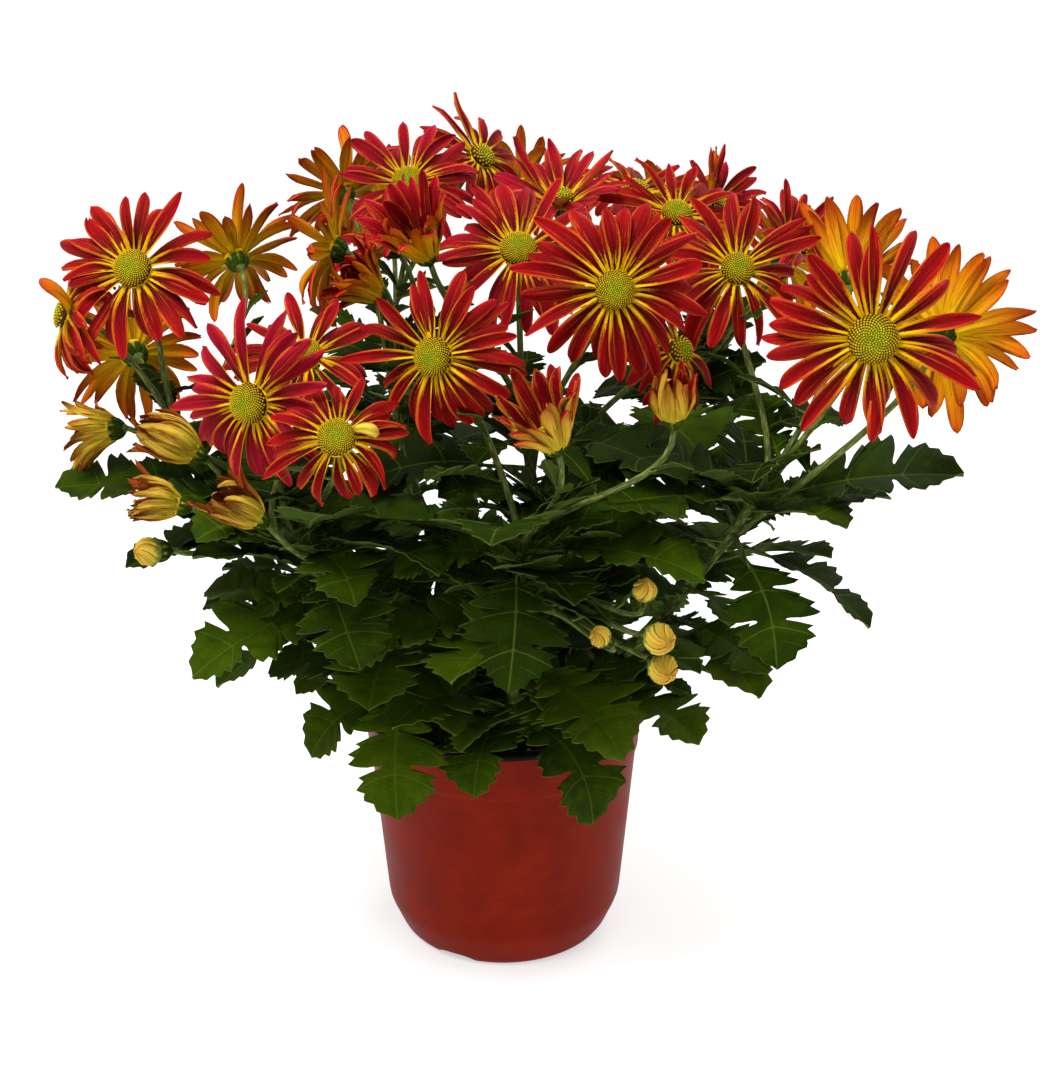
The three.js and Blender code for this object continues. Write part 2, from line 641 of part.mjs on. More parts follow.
// The core of a head: a rim of 2n facets, each the root of one petal, closed below by its flat seat and above by the
// relief of the disc's florets, or by a flat face where the disc is a piece of its own.
function startHead(head, withDisc) {
  const skin = new Skin();
  const n = head.petals;
  const top = skin.ring(circle(head.disc, RIM_HEIGHT, n));
  const bottom = skin.ring(circle(head.disc + RIM_FLARE, 0, n, 0.5));
  skin.fan([...bottom].reverse(), skin.add(vec(0, 0, 0)));
  let inner = top;
  let peak = RIM_HEIGHT;
  if (withDisc) {
    CORE_RINGS.forEach(([share, rise], i) => {
      const ring = skin.ring(circle(share * head.disc, RIM_HEIGHT + rise * head.disc, n, 0.5 * (i + 1)));
      skin.zigzag(inner, ring);
      inner = ring;
    });
    peak += CORE_TOP * head.disc;
  }
  skin.fan(inner, skin.add(vec(0, 0, peak)));
  // The rim's facets, an upper petal's root and a lower one's in turn.
  const roots = top.flatMap((t, k) => [
    [t, bottom[k], top[(k + 1) % n]],
    [bottom[(k + n - 1) % n], bottom[k], t],
  ]);
  return { skin, roots };
}

function petalNature(dice) {
  const entries = Object.entries(PETAL_NATURE);
  return Object.fromEntries(entries.map(([key, [middle, spread]]) => [key, dice.around(middle, spread)]));
}

// One layer's petal, k-th round its head, as rings of three points and its end. The upper layer is flat on top with a
// keel below, and the lower one flat below with a ridge on top, so that the two layers lie in each other's gaps.
function petalShape(head, k, upper, nature, attempt, spare = 0) {
  const habit = HABITS[head.habit];
  const around = (2 * Math.PI * (upper ? k + 0.5 : k)) / head.petals;
  const heading = around + radians(nature.sway + attempt.turn);
  const out = vec(Math.cos(heading), Math.sin(heading), 0);
  const across = vec(-Math.sin(heading), Math.cos(heading), 0);
  const down = Math.max(0, -Math.sin(around)) * Math.cos(radians(head.faces[1]));
  const from = habit.rise - (upper ? 0 : habit.layer) + nature.rise;
  const to = from + habit.curl + nature.curl - habit.hang * down + attempt.bend;
  const length = head.petal * nature.length * attempt.share + spare;
  const start = vec(head.disc * Math.cos(around), head.disc * Math.sin(around), upper ? RIM_HEIGHT : 0);
  const halfWidth = 0.5 * PETAL_SHAPE * head.petal * nature.width;
  const flatSide = upper ? 1 : -1;
  const pointAt = (share) => arcPoint(start, out, UP, length, from, to, share);
  const ringAt = ([share, widthShare]) => {
    const angle = radians(from + (to - from) * share);
    const normal = UP.clone().multiplyScalar(Math.cos(angle)).addScaledVector(out, -Math.sin(angle));
    const twist = radians(nature.twist) * share;
    const side = across.clone().multiplyScalar(Math.cos(twist)).addScaledVector(normal, Math.sin(twist));
    const face = normal.multiplyScalar(Math.cos(twist)).addScaledVector(across, -Math.sin(twist));
    const middle = pointAt(share);
    const half = halfWidth * widthShare + spare;
    const keel = middle.clone().addScaledVector(face, -flatSide * (PETAL_DEPTH + spare));
    const edge = (sign) =>
      middle.clone().addScaledVector(side, sign * half).addScaledVector(face, flatSide * spare);
    return upper ? [edge(-1), keel, edge(1)] : [edge(-1), edge(1), keel];
  };
  if (head.fine) return { rings: FINE_STATIONS.map(ringAt), ends: [pointAt(1)] };
  const [p, q, r] = ringAt([1, BLUNT_SHARE]);
  return { rings: PLAIN_STATIONS.map(ringAt), ends: upper ? [r, p] : [p, q] };
}

// A petal grows from its root facet through its rings to a pointed tip, or to a blunt end of two points.
function addPetal(skin, root, { rings, ends }, upper) {
  const stations = [root, ...rings.map((points) => skin.ring(points))];
  stations.slice(1).forEach((ring, i) => skin.band(stations[i], ring));
  const last = stations[stations.length - 1];
  if (ends.length === 1) {
    skin.fan(last, skin.add(ends[0]));
    return;
  }
  // The flat side of the last ring runs from p to q, and r is its keel or ridge.
  const [p, q, r] = upper ? [last[2], last[0], last[1]] : last;
  const [pEnd, qEnd] = skin.ring(ends);
  skin.facet(p, q, qEnd);
  skin.facet(p, qEnd, pEnd);
  skin.facet(q, r, qEnd);
  skin.facet(r, p, pEnd);
  skin.facet(r, pEnd, qEnd);
}

// The first shape of a petal that is clear of every other piece by the clearance, and of its own head's petals.
function findPetal(head, k, upper, nature, rootPoints, crowd) {
  const bladeOf = (petal) => {
    const blade = new Skin();
    addPetal(blade, blade.ring(rootPoints), petal, upper);
    return blade.triangles(head.name, head.frame);
  };
  const others = (owner) => owner !== head.name;
  for (const share of PETAL_SHARES)
    for (const bend of PETAL_BENDS)
      for (const turn of PETAL_TURNS) {
        const attempt = { share, bend, turn };
        const petal = petalShape(head, k, upper, nature, attempt);
        const wide = petalShape(head, k, upper, nature, attempt, CLEARANCE);
        if (!crowd.crosses(bladeOf(wide), others) && !crowd.crosses(bladeOf(petal))) return petal;
      }
  return null;
}

function makeHead(head, seed, crowd) {
  const dice = new Dice(seed);
  const { skin, roots } = startHead(head, !head.fine);
  roots.forEach((root, i) => {
    const upper = i % 2 === 0;
    const nature = petalNature(dice);
    const rootPoints = root.map((id) => skin.points[id]);
    const petal = findPetal(head, Math.floor(i / 2), upper, nature, rootPoints, crowd);
    if (!petal) {
      skin.facet(...root);
      return;
    }
    const first = skin.facets.length;
    addPetal(skin, root, petal, upper);
    crowd.add(skin.triangles(head.name, head.frame, first));
  });
  return skin;
}

// The disc of a face-on head: a dome of florets, whose tips stand up from it in rings.
function makeDisc(head) {
  const skin = new Skin();
  const base = RIM_HEIGHT + SEAT_GAP;
  const rings = DISC_RINGS.map(([share, rise], i) => {
    const points = circle(share * head.disc, base + rise * head.disc, DISC_SIDES, 0.5 * i);
    return skin.ring(points.map((point, j) => (i > 0 && j % 2 === 0 ? point.setZ(point.z + FLORET_RISE) : point)));
  });
  skin.fan([...rings[0]].reverse(), skin.add(vec(0, 0, base)));
  rings.slice(1).forEach((ring, i) => skin.zigzag(rings[i], ring));
  skin.fan(rings[rings.length - 1], skin.add(vec(0, 0, base + DISC_TOP * head.disc)));
  return skin;
}

function makeBall({ long, wide }) {
  const skin = new Skin();
  const rings = BALL_RINGS.map(([share, height]) => skin.ring(circle(share * wide, height * long, BALL_SIDES)));
  rings.slice(1).forEach((ring, i) => skin.band(rings[i], ring));
  skin.fan(rings[rings.length - 1], skin.add(vec(0, 0, long)));
  skin.fan([...rings[0]].reverse(), skin.add(vec(0, 0, 0)));
  return skin;
}

// A leaf with its petiole: one thin blade whose two faces share the lobed edge, folded up a little along the rib.
function makeLeaf(leaf, attempt, spare = 0) {
  const skin = new Skin();
  const heading = radians(leaf.heading + attempt.turn);
  const level = vec(Math.cos(heading), Math.sin(heading), 0);
  const across = UP.clone().cross(level);
  const rise = leaf.rise + attempt.bend;
  const length = leaf.length * attempt.share;
  const roll = radians(leaf.roll);
  const base = arcPoint(leaf.start, level, UP, leaf.petiole, rise, rise, 1);
  const at = (share, y, z) => {
    const angle = radians(rise - leaf.droop * share);
    const normal = UP.clone().multiplyScalar(Math.cos(angle)).addScaledVector(level, -Math.sin(angle));
    return arcPoint(base, level, UP, length, rise, rise - leaf.droop, share)
      .addScaledVector(across, y * Math.cos(roll) - z * Math.sin(roll))
      .addScaledVector(normal, z * Math.cos(roll) + y * Math.sin(roll));
  };
  const width = PETIOLE_WIDTH / 2 + spare;
  const petiole = [at(0, -width, 0), at(0, 0, -LEAF_DEPTH - spare), at(0, width, 0)];
  const rooted = skin.ring(petiole.map((point) => point.clone().sub(base).add(leaf.start)));
  const [right, under, left] = skin.ring(petiole);
  skin.facet(rooted[0], rooted[2], rooted[1]);
  skin.band(rooted, [right, under, left]);
  const edge = (side, first) => [
    { share: 0, id: first },
    ...LEAF_OUTLINE.map(([share, half]) => {
      const y = half * length + spare;
      const wave = LEAF_WAVE * length * Math.sin(LEAF_RIPPLES * share + side * leaf.phase);
      return { share, id: skin.add(at(share, side * y, LEAF_FOLD * y + wave)) };
    }),
  ];
  const rib = (z) => LEAF_RIB.map((share) => ({ share, id: skin.add(at(share, 0, z)) }));
  const tip = skin.add(at(1 + spare / length, 0, 0));
  const [rightEdge, leftEdge] = [edge(-1, right), edge(1, left)];
  const [above, below] = [rib(spare), [{ share: 0, id: under }, ...rib(-LEAF_DEPTH - spare)]];
  skin.facet(left, right, above[0].id);
  for (const [a, b] of [
    [above, rightEdge],
    [leftEdge, above],
    [rightEdge, below],
    [below, leftEdge],
  ])
    skin.facet(...skin.zip(a, b), tip);
  return skin;
}

// The first shape of a leaf that is clear of every other piece and, its petiole apart, of its own stem's.
function findLeaf(leaf, owner, crowd) {
  const others = (other) => other !== owner;
  for (const share of LEAF_SHARES)
    for (const bend of LEAF_BENDS)
      for (const turn of LEAF_TURNS) {
        const attempt = { share, bend, turn };
        const skin = makeLeaf(leaf, attempt);
        const wide = makeLeaf(leaf, attempt, CLEARANCE);
        if (crowd.crosses(skin.triangles(owner, undefined, PETIOLE_FACETS))) continue;
        if (!crowd.crosses(wide.triangles(owner), others)) return skin;
      }
  return null;
}

// All leaves of the plant, those that show from the front first.
function listLeaves() {
  const shown = SHOWN_LEAVES.map((leaf, i) => {
    const dice = new Dice(SHOWN_SEED + i);
    return {
      ...leaf,
      start: stemCurve(STEMS[leaf.stem]).getPointAt(leaf.share),
      petiole: dice.around(SHOWN_PETIOLE, LEAF_SPREAD.petiole),
      roll: dice.around(0, LEAF_SPREAD.roll),
      phase: dice.around(0, LEAF_SPREAD.phase),
    };
  });
  const spiral = STEMS.flatMap((stem, s) => {
    const dice = new Dice(SPIRAL_SEED + s);
    return Array.from({ length: SPIRAL_LEAVES }, (_, i) => {
      const climb = i / (SPIRAL_LEAVES - 1);
      const between = (key) =>
        dice.around(LOW_LEAF[key] + (HIGH_LEAF[key] - LOW_LEAF[key]) * climb, LEAF_SPREAD[key]);
      return {
        stem: s,
        start: stemCurve(stem).getPointAt(FIRST_LEAF + (LAST_LEAF - FIRST_LEAF) * climb),
        heading: dice.around(SPIRAL * (i + 2 * s), LEAF_SPREAD.heading),
        length: between("length"),
        petiole: between("petiole"),
        rise: between("rise"),
        droop: between("droop"),
        roll: dice.around(0, LEAF_SPREAD.roll),
        phase: dice.around(0, LEAF_SPREAD.phase),
      };
    });
  });
  return [...shown, ...spiral];
}

// Names and seats. A head's seat is its flat underside, below the middle of its disc.
const heads = HEADS.map((head, i) => ({
  ...head,
  fine: i < FACE_ON,
  name: "bloom_" + String(i + 1).padStart(2, "0"),
}));
const brushes = BRUSHES.map((brush, i) => ({ ...brush, fine: false, name: "bud_" + (i + 1) }));
const flowers = [...heads, ...brushes];
for (const flower of flowers) {
  const depth = RIM_HEIGHT + DISC_MIDDLE * flower.disc;
  flower.frame = frameOf(vec(...flower.at).addScaledVector(facing(flower.faces), -depth), flower.faces);
}
const balls = BALLS.map((ball, i) => ({
  ...ball,
  frame: frameOf(vec(...ball.at), ball.faces),
  name: "bud_" + (BRUSHES.length + i + 1),
  skin: makeBall(ball),
}));
const stemNames = STEMS.map((_, s) => "leafy_stem_" + (s + 1));

const plant = new THREE.Group();
const [pot, soil] = [makePot(), makeSoil()];
plant.add(pot, soil);

// The stems, the cores of the heads and the closed buds stand first. The stalks, petals and leaves are added after
// them in turn, and each one keeps clear of all that stand already.
const crowd = new Crowd();
for (const mesh of [pot, soil]) {
  const place = mesh.geometry.toNonIndexed().attributes.position;
  const points = Array.from({ length: place.count }, (_, i) => vec().fromBufferAttribute(place, i));
  for (let i = 0; i < points.length; i += 3) crowd.add([makeFacet(...points.slice(i, i + 3), mesh.name)]);
}
const stemSolids = STEMS.map((stem, s) => {
  const main = makeStem(stem);
  crowd.add(main.triangles(stemNames[s]));
  return main.solid();
});
for (const flower of flowers) {
  const { skin, roots } = startHead(flower, true);
  roots.forEach((root) => skin.facet(...root));
  crowd.add(skin.triangles(flower.name, flower.frame));
}
for (const ball of balls) crowd.add(ball.skin.triangles(ball.name, ball.frame));

// The stalks of a stem leave it one above the other, the lowest flower's first.
STEMS.forEach((stem, s) => {
  const carried = [...flowers, ...balls].filter((piece) => piece.stem === s);
  carried.sort((p, q) => p.at[2] - q.at[2]);
  carried.forEach((piece, i) => {
    const share = FIRST_STALK + ((1 - FIRST_STALK) * (i + 1)) / carried.length;
    const radius = (piece.disc ?? piece.wide) * CUP_SHARE;
    const others = (owner) => owner !== stemNames[s] && owner !== piece.name;
    const clear = (bow) => {
      const wide = makeStalk(stem, share, piece.frame, radius, bow, CLEARANCE);
      return !crowd.crosses(wide.triangles(stemNames[s]), others);
    };
    const stalk = makeStalk(stem, share, piece.frame, radius, STALK_BOWS.find(clear) ?? 0, 0);
    crowd.add(stalk.triangles(stemNames[s]));
    stemSolids[s] = stemSolids[s].add(stalk.solid());
  });
});

// The heads and buds, each in a group that holds its place.
flowers.forEach((flower, i) => {
  const place = new THREE.Group();
  place.applyMatrix4(flower.frame);
  const look = flower.habit === "brush" ? "bud" : "petal";
  place.add(named(flower.name, makeHead(flower, i + 1, crowd).geometry(), look));
  if (flower.fine) place.add(named(flower.name.replace("bloom", "disc"), makeDisc(flower).geometry(), "disc"));
  plant.add(place);
});
for (const ball of balls) {
  const mesh = named(ball.name, ball.skin.geometry(), "bud");
  mesh.applyMatrix4(ball.frame);
  plant.add(mesh);
}

// The leaves. One that finds no clear place doesn't grow.
for (const leaf of listLeaves()) {
  const owner = stemNames[leaf.stem];
  const skin = findLeaf(leaf, owner, crowd);
  if (!skin) continue;
  crowd.add(skin.triangles(owner));
  stemSolids[leaf.stem] = stemSolids[leaf.stem].add(skin.solid());
}
stemSolids.forEach((solid, s) => plant.add(named(stemNames[s], geometryOf(solid), "leaf")));

export default plant;
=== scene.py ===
# %% [markdown]
# A potted chrysanthemum, dressed for its picture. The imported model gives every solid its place: a pot of
# peat, seven leafy stems, thirty-four flower heads and eight buds. Each of those solids is coarse on
# purpose. This lesson grows a finer piece in the place of each one, from the same named values, and gives
# it the finish of the real plant.

# %% Load the frame
import math

import bpy
import numpy as np
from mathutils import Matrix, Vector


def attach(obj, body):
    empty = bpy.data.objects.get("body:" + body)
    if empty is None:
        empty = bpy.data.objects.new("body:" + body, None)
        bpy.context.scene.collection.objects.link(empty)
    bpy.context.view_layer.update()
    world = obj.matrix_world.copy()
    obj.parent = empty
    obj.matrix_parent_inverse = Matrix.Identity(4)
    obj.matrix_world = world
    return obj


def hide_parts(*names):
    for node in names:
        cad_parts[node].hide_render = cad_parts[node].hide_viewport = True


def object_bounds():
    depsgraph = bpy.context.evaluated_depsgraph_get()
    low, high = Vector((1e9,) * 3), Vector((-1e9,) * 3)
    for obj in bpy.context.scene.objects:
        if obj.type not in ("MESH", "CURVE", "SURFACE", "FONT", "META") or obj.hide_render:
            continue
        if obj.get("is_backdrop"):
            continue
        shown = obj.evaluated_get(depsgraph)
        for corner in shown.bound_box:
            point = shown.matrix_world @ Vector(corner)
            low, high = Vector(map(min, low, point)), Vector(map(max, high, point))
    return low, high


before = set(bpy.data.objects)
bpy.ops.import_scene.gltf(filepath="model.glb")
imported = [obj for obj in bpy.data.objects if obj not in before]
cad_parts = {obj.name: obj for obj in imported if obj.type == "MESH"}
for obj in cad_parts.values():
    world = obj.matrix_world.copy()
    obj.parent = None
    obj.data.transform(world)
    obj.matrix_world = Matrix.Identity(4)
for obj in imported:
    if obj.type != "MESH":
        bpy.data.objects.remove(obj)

MM = 0.001
cad_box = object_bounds()
print("solids in the frame:", len(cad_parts))

# %% [markdown]
# The camera stands where the photographer did: 0.85 m away and a little above the plant. Its place came out
# of the pot's lip, a circle that shows as an ellipse. The fill is a white sky. One soft lamp above the left
# shoulder gives the petals their form, and a weaker one behind on the right lights their edges.

# %% Camera and light
CAMERA_AT = (0.013, -0.727, 0.452)
CAMERA_DOWN = 19.8
FOCAL_PIXELS = 1725
PHOTO_HEIGHT = 1080
SENSOR = 36
LAMPS = [
    {"name": "key", "at": (-0.4, -0.5, 1.3), "size": 0.5, "watts": 17},
    {"name": "rim", "at": (0.6, 0.7, 0.9), "size": 0.8, "watts": 5},
]
TARGET = (0, 0, 0.2)
SKY_STRENGTH = 0.8


def to_linear(hex_colour):
    """A colour as a picture file writes it, turned to the linear values that light adds up in."""
    shares = [int(hex_colour[i : i + 2], 16) / 255 for i in (1, 3, 5)]
    return [s / 12.92 if s <= 0.04045 else ((s + 0.055) / 1.055) ** 2.4 for s in shares] + [1.0]


def new_object(name, data):
    """An object that shows this data, put in the scene."""
    made = bpy.data.objects.new(name, data)
    bpy.context.collection.objects.link(made)
    return made


camera = new_object("camera", bpy.data.cameras.new("camera"))
camera.data.sensor_width = SENSOR
camera.data.lens = FOCAL_PIXELS / PHOTO_HEIGHT * SENSOR
camera.location = CAMERA_AT
camera.rotation_euler = (math.radians(90 - CAMERA_DOWN), 0, 0)
bpy.context.scene.camera = camera
bpy.context.scene.view_settings.view_transform = "Standard"
for lamp in LAMPS:
    light = new_object(lamp["name"], bpy.data.lights.new(lamp["name"], "AREA"))
    light.data.size = lamp["size"]
    light.data.energy = lamp["watts"]
    light.location = lamp["at"]
    towards = np.subtract(TARGET, lamp["at"])
    tilt = math.atan2(math.hypot(towards[0], towards[1]), -towards[2])
    light.rotation_euler = (tilt, 0, math.atan2(towards[1], towards[0]) - math.pi / 2)
world = bpy.data.worlds.new("studio")
world.use_nodes = True
world.node_tree.nodes["Background"].inputs["Color"].default_value = to_linear("#FFFFFF")
world.node_tree.nodes["Background"].inputs["Strength"].default_value = SKY_STRENGTH
bpy.context.scene.world = world
print("lens", round(camera.data.lens, 1), "mm, lamps", len(LAMPS))

# %% [markdown]
# A material is a small tree of nodes. One helper adds a node, and one feeds a node's inputs: with a
# dictionary by their names, or with a list in the order that the node has them. So a MapRange node takes
# its value, the two ends of the range that this comes from, and the two ends of the range that it goes to.

# %% Helpers for materials
# Inputs 0, 6 and 7 of a Mix node are its factor and its two colours, and output 2 is the mixed colour.
COLOUR_MIX = {"out": 2, "data_type": "RGBA"}


def feed(tree, node, inputs):
    """Sets inputs from values, hex colours or the outputs of other nodes."""
    for key, value in dict(inputs if isinstance(inputs, dict) else enumerate(inputs)).items():
        if isinstance(value, bpy.types.NodeSocket):
            tree.links.new(value, node.inputs[key])
        else:
            node.inputs[key].default_value = to_linear(value) if isinstance(value, str) else value


def add(tree, kind, inputs=(), out=0, stops=(), **settings):
    """Adds a node with its settings, inputs and colour ramp, and returns one of its outputs."""
    made = tree.nodes.new("ShaderNode" + kind)
    for key, value in settings.items():
        setattr(made, key, value)
    feed(tree, made, inputs)
    for i, (place, colour) in enumerate(stops):
        elements = made.color_ramp.elements
        stop = elements[i] if i < 2 else elements.new(place)
        stop.position = place
        stop.color = to_linear(colour) if isinstance(colour, str) else [colour] * 3 + [1]
    return made.outputs[out]


def new_material(name):
    """An empty material, its tree and the shader in it."""
    material = bpy.data.materials.new(name)
    material.use_nodes = True
    return material, material.node_tree, material.node_tree.nodes["Principled BSDF"]


# %% [markdown]
# A piece is gathered from small parts, each with its points, its faces and some marks, until it becomes one
# mesh. The marks are numbers that each point carries, such as how far along its petal it lies. The
# materials paint by them, so a pattern stays with its petal however that bends.

# %% Helpers for meshes
class Mesh:
    """Points in millimetres, faces and marks, gathered part by part."""

    MARKS = ("along", "across", "under", "seed", "vein", "rim")

    def __init__(self):
        self.points = []
        self.faces = []
        self.finishes = []
        self.marks = {mark: [] for mark in self.MARKS}
        self.count = 0

    def add(self, points, faces, finish=0, place=None, **marks):
        """Adds a part. Finish is the number of its material, and place is the matrix that moves it."""
        points = np.asarray(points, float).reshape(-1, 3)
        if place is not None:
            points = move(points, place)
        for face in faces:
            face = np.asarray(face, int)
            self.faces.append(face + self.count)
            self.finishes.append(np.full(len(face), finish))
        for mark in self.MARKS:
            values = np.asarray(marks.get(mark, 0.0), float).ravel()
            self.marks[mark].append(np.broadcast_to(values, len(points)))
        self.points.append(points)
        self.count += len(points)

    def piece(self, name, materials, slot, nodes):
        """Makes the object, in metres at the frame's origin, in the place of the given solids."""
        mesh = bpy.data.meshes.new(name)
        points = np.concatenate(self.points) * MM
        corners = np.concatenate([face.ravel() for face in self.faces])
        sizes = np.concatenate([np.full(len(face), face.shape[1]) for face in self.faces])
        starts = np.concatenate([[0], np.cumsum(sizes)[:-1]])
        mesh.vertices.add(len(points))
        mesh.vertices.foreach_set("co", points.astype(np.float32).ravel())
        mesh.loops.add(len(corners))
        mesh.loops.foreach_set("vertex_index", corners.astype(np.int32))
        mesh.polygons.add(len(sizes))
        mesh.polygons.foreach_set("loop_start", starts.astype(np.int32))
        mesh.polygons.foreach_set("material_index", np.concatenate(self.finishes).astype(np.int32))
        for mark, values in self.marks.items():
            held = mesh.attributes.new(mark, "FLOAT", "POINT")
            held.data.foreach_set("value", np.concatenate(values).astype(np.float32))
        mesh.update(calc_edges=True)
        mesh.validate()
        mesh.shade_smooth()
        for material in materials:
            mesh.materials.append(material)
        piece = new_object(name, mesh)
        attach(piece, "root")
        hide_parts(*nodes)
        print(f"{name}: {int((sizes - 2).sum())} triangles")
        return piece


def move(points, place):
    """Points put where a matrix says."""
    return points @ place[:3, :3].T + place[:3, 3]


# %% [markdown]
# The pot is thin thermoformed polypropylene, terracotta outside and black inside and on the flat lip.
# Moulded plastic has a soft gloss with a fine orange peel, and here also the faint bloom of handling and
# watering. So the colour wanders a little over centimetres, and the roughness with it.

# %% Pot plastic
def pot_plastic(name, deep, pale, roughness):
    """Polypropylene: nearly matt, with its colour patchy and its gloss wandering by a little."""
    material, tree, shader = new_material(name)
    place = add(tree, "TexCoord", out="Object")
    # Watering marks and handling are patches of some 18 mm with ragged edges.
    patches = add(tree, "TexNoise", {"Vector": place, "Scale": 1 / (18 * MM), "Detail": 6, "Roughness": 0.62})
    colour = add(tree, "ValToRGB", [patches], stops=[(0.38, deep), (0.66, pale)])
    gloss = add(tree, "MapRange", [patches, 0.3, 0.7, roughness - 0.06, roughness + 0.1])
    # The peel of the formed sheet is really about 0.5 mm, and is drawn at 1.2 mm so that it shows at all.
    peel = add(tree, "TexNoise", {"Vector": place, "Scale": 1 / (1.2 * MM), "Detail": 2})
    bump = add(tree, "Bump", {"Height": peel, "Strength": 0.12, "Distance": 0.1 * MM})
    feed(tree, shader, {"Base Color": colour, "Roughness": gloss, "Normal": bump})
    feed(tree, shader, {"IOR": 1.49, "Specular IOR Level": 0.05})
    return material


terracotta_plastic = pot_plastic("terracotta polypropylene", "#6A1201", "#7A1A04", 0.46)
black_plastic = pot_plastic("black polypropylene", "#0B0A0A", "#191716", 0.45)
print("plastics:", terracotta_plastic.name, "and", black_plastic.name)

# %% [markdown]
# The pot is a turned form, so its profile is drawn once and spun. Formed plastic has no sharp corner, so
# each corner of the profile is rounded first. Four arched drain notches are then cut from the foot by a
# Boolean modifier, which is applied at once: that leaves a plain mesh whose faces can be sorted by where
# they look.

# %% The pot's sizes
POT_HEIGHT = 118
LIP_RADIUS = 70
LIP_WIDTH = 5.4
LIP_DROP = 2.8
WALL = 1.2
RIM_RADIUS = 64.6
BAND_RADIUS = 62.5
BAND_HEIGHT = 93
BAND_STEP = 0.8
SHOULDER_RADIUS = 55
SHOULDER_HEIGHT = 16
FOOT_RADIUS = 50.2
FOOT_HEIGHT = 5
BASE_RADIUS = 46.5
# The outline as (radius, height), from the middle of the underside up the outside and down the inside.
POT_PROFILE = [
    (0, 0),
    (BASE_RADIUS, 0),
    (FOOT_RADIUS - WALL, FOOT_HEIGHT / 2),
    (FOOT_RADIUS, FOOT_HEIGHT),
    (SHOULDER_RADIUS, SHOULDER_HEIGHT),
    (BAND_RADIUS - BAND_STEP, BAND_HEIGHT - BAND_STEP),
    (BAND_RADIUS, BAND_HEIGHT),
    (RIM_RADIUS, POT_HEIGHT - WALL),
    (LIP_RADIUS - WALL, POT_HEIGHT - WALL),
    (LIP_RADIUS - WALL, POT_HEIGHT - LIP_DROP),
    (LIP_RADIUS, POT_HEIGHT - LIP_DROP),
    (LIP_RADIUS, POT_HEIGHT),
    (LIP_RADIUS - LIP_WIDTH - WALL, POT_HEIGHT),
    (BAND_RADIUS - BAND_STEP - WALL, BAND_HEIGHT - BAND_STEP),
    (SHOULDER_RADIUS - WALL, SHOULDER_HEIGHT),
    (FOOT_RADIUS - WALL / 2, FOOT_HEIGHT + 2 * WALL),
    (BASE_RADIUS - WALL, WALL),
    (0, WALL),
]
POT_SIDES = 120
CORNER_REACH = 3.0
CORNER_SHARE = 0.45
CORNER_STEPS = 3
DRAIN_TURNS = [-27, 63, 153, 243]
DRAIN_WIDTH = 21
DRAIN_HEIGHT = 4
DRAIN_STEPS = 21


# %% Round, turn and cut
def rounded(profile):
    """The profile with each corner but the two on the axis replaced by a small curve."""
    points = [np.array(profile[0], float)]
    for before, corner, after in zip(profile, profile[1:], profile[2:]):
        before, corner, after = (np.array(p, float) for p in (before, corner, after))
        into, onward = before - corner, after - corner
        sides = np.linalg.norm(into), np.linalg.norm(onward)
        reach = min(CORNER_REACH, CORNER_SHARE * sides[0], CORNER_SHARE * sides[1])
        start = corner + into / sides[0] * reach
        end = corner + onward / sides[1] * reach
        for t in np.linspace(0, 1, CORNER_STEPS):
            points.append((1 - t) ** 2 * start + 2 * t * (1 - t) * corner + t**2 * end)
    return points + [np.array(profile[-1], float)]


def grid_faces(rows, columns, closed=False):
    """The four-sided faces of a grid of points, whose columns may run round and close."""
    ids = np.arange(rows * columns).reshape(rows, columns)
    right = np.roll(ids, -1, axis=1) if closed else ids[:, 1:]
    left = ids if closed else ids[:, :-1]
    return np.stack([left[:-1], left[1:], right[1:], right[:-1]], axis=-1).reshape(-1, 4)


def round_faces(rows, sides):
    """The faces of a round body of so many rows, with a fan at each end to one of two last points."""
    ids, top, ends = np.arange(sides), (rows - 1) * sides, rows * sides
    low = np.stack([np.roll(ids, -1), ids, np.full(sides, ends)], axis=-1)
    high = np.stack([top + ids, top + np.roll(ids, -1), np.full(sides, ends + 1)], axis=-1)
    return [grid_faces(rows, sides, closed=True)[:, ::-1], low, high]


def turned(profile, sides):
    """A profile of (radius, height) spun round the axis, closed at both ends where it meets the axis."""
    angles = 2 * math.pi * np.arange(sides) / sides
    rows = [[(r * math.cos(a), r * math.sin(a), z) for a in angles] for r, z in profile[1:-1]]
    points = np.array(rows).reshape(-1, 3)
    points = np.vstack([points, (0, 0, profile[0][1]), (0, 0, profile[-1][1])])
    return points, round_faces(len(rows), sides)


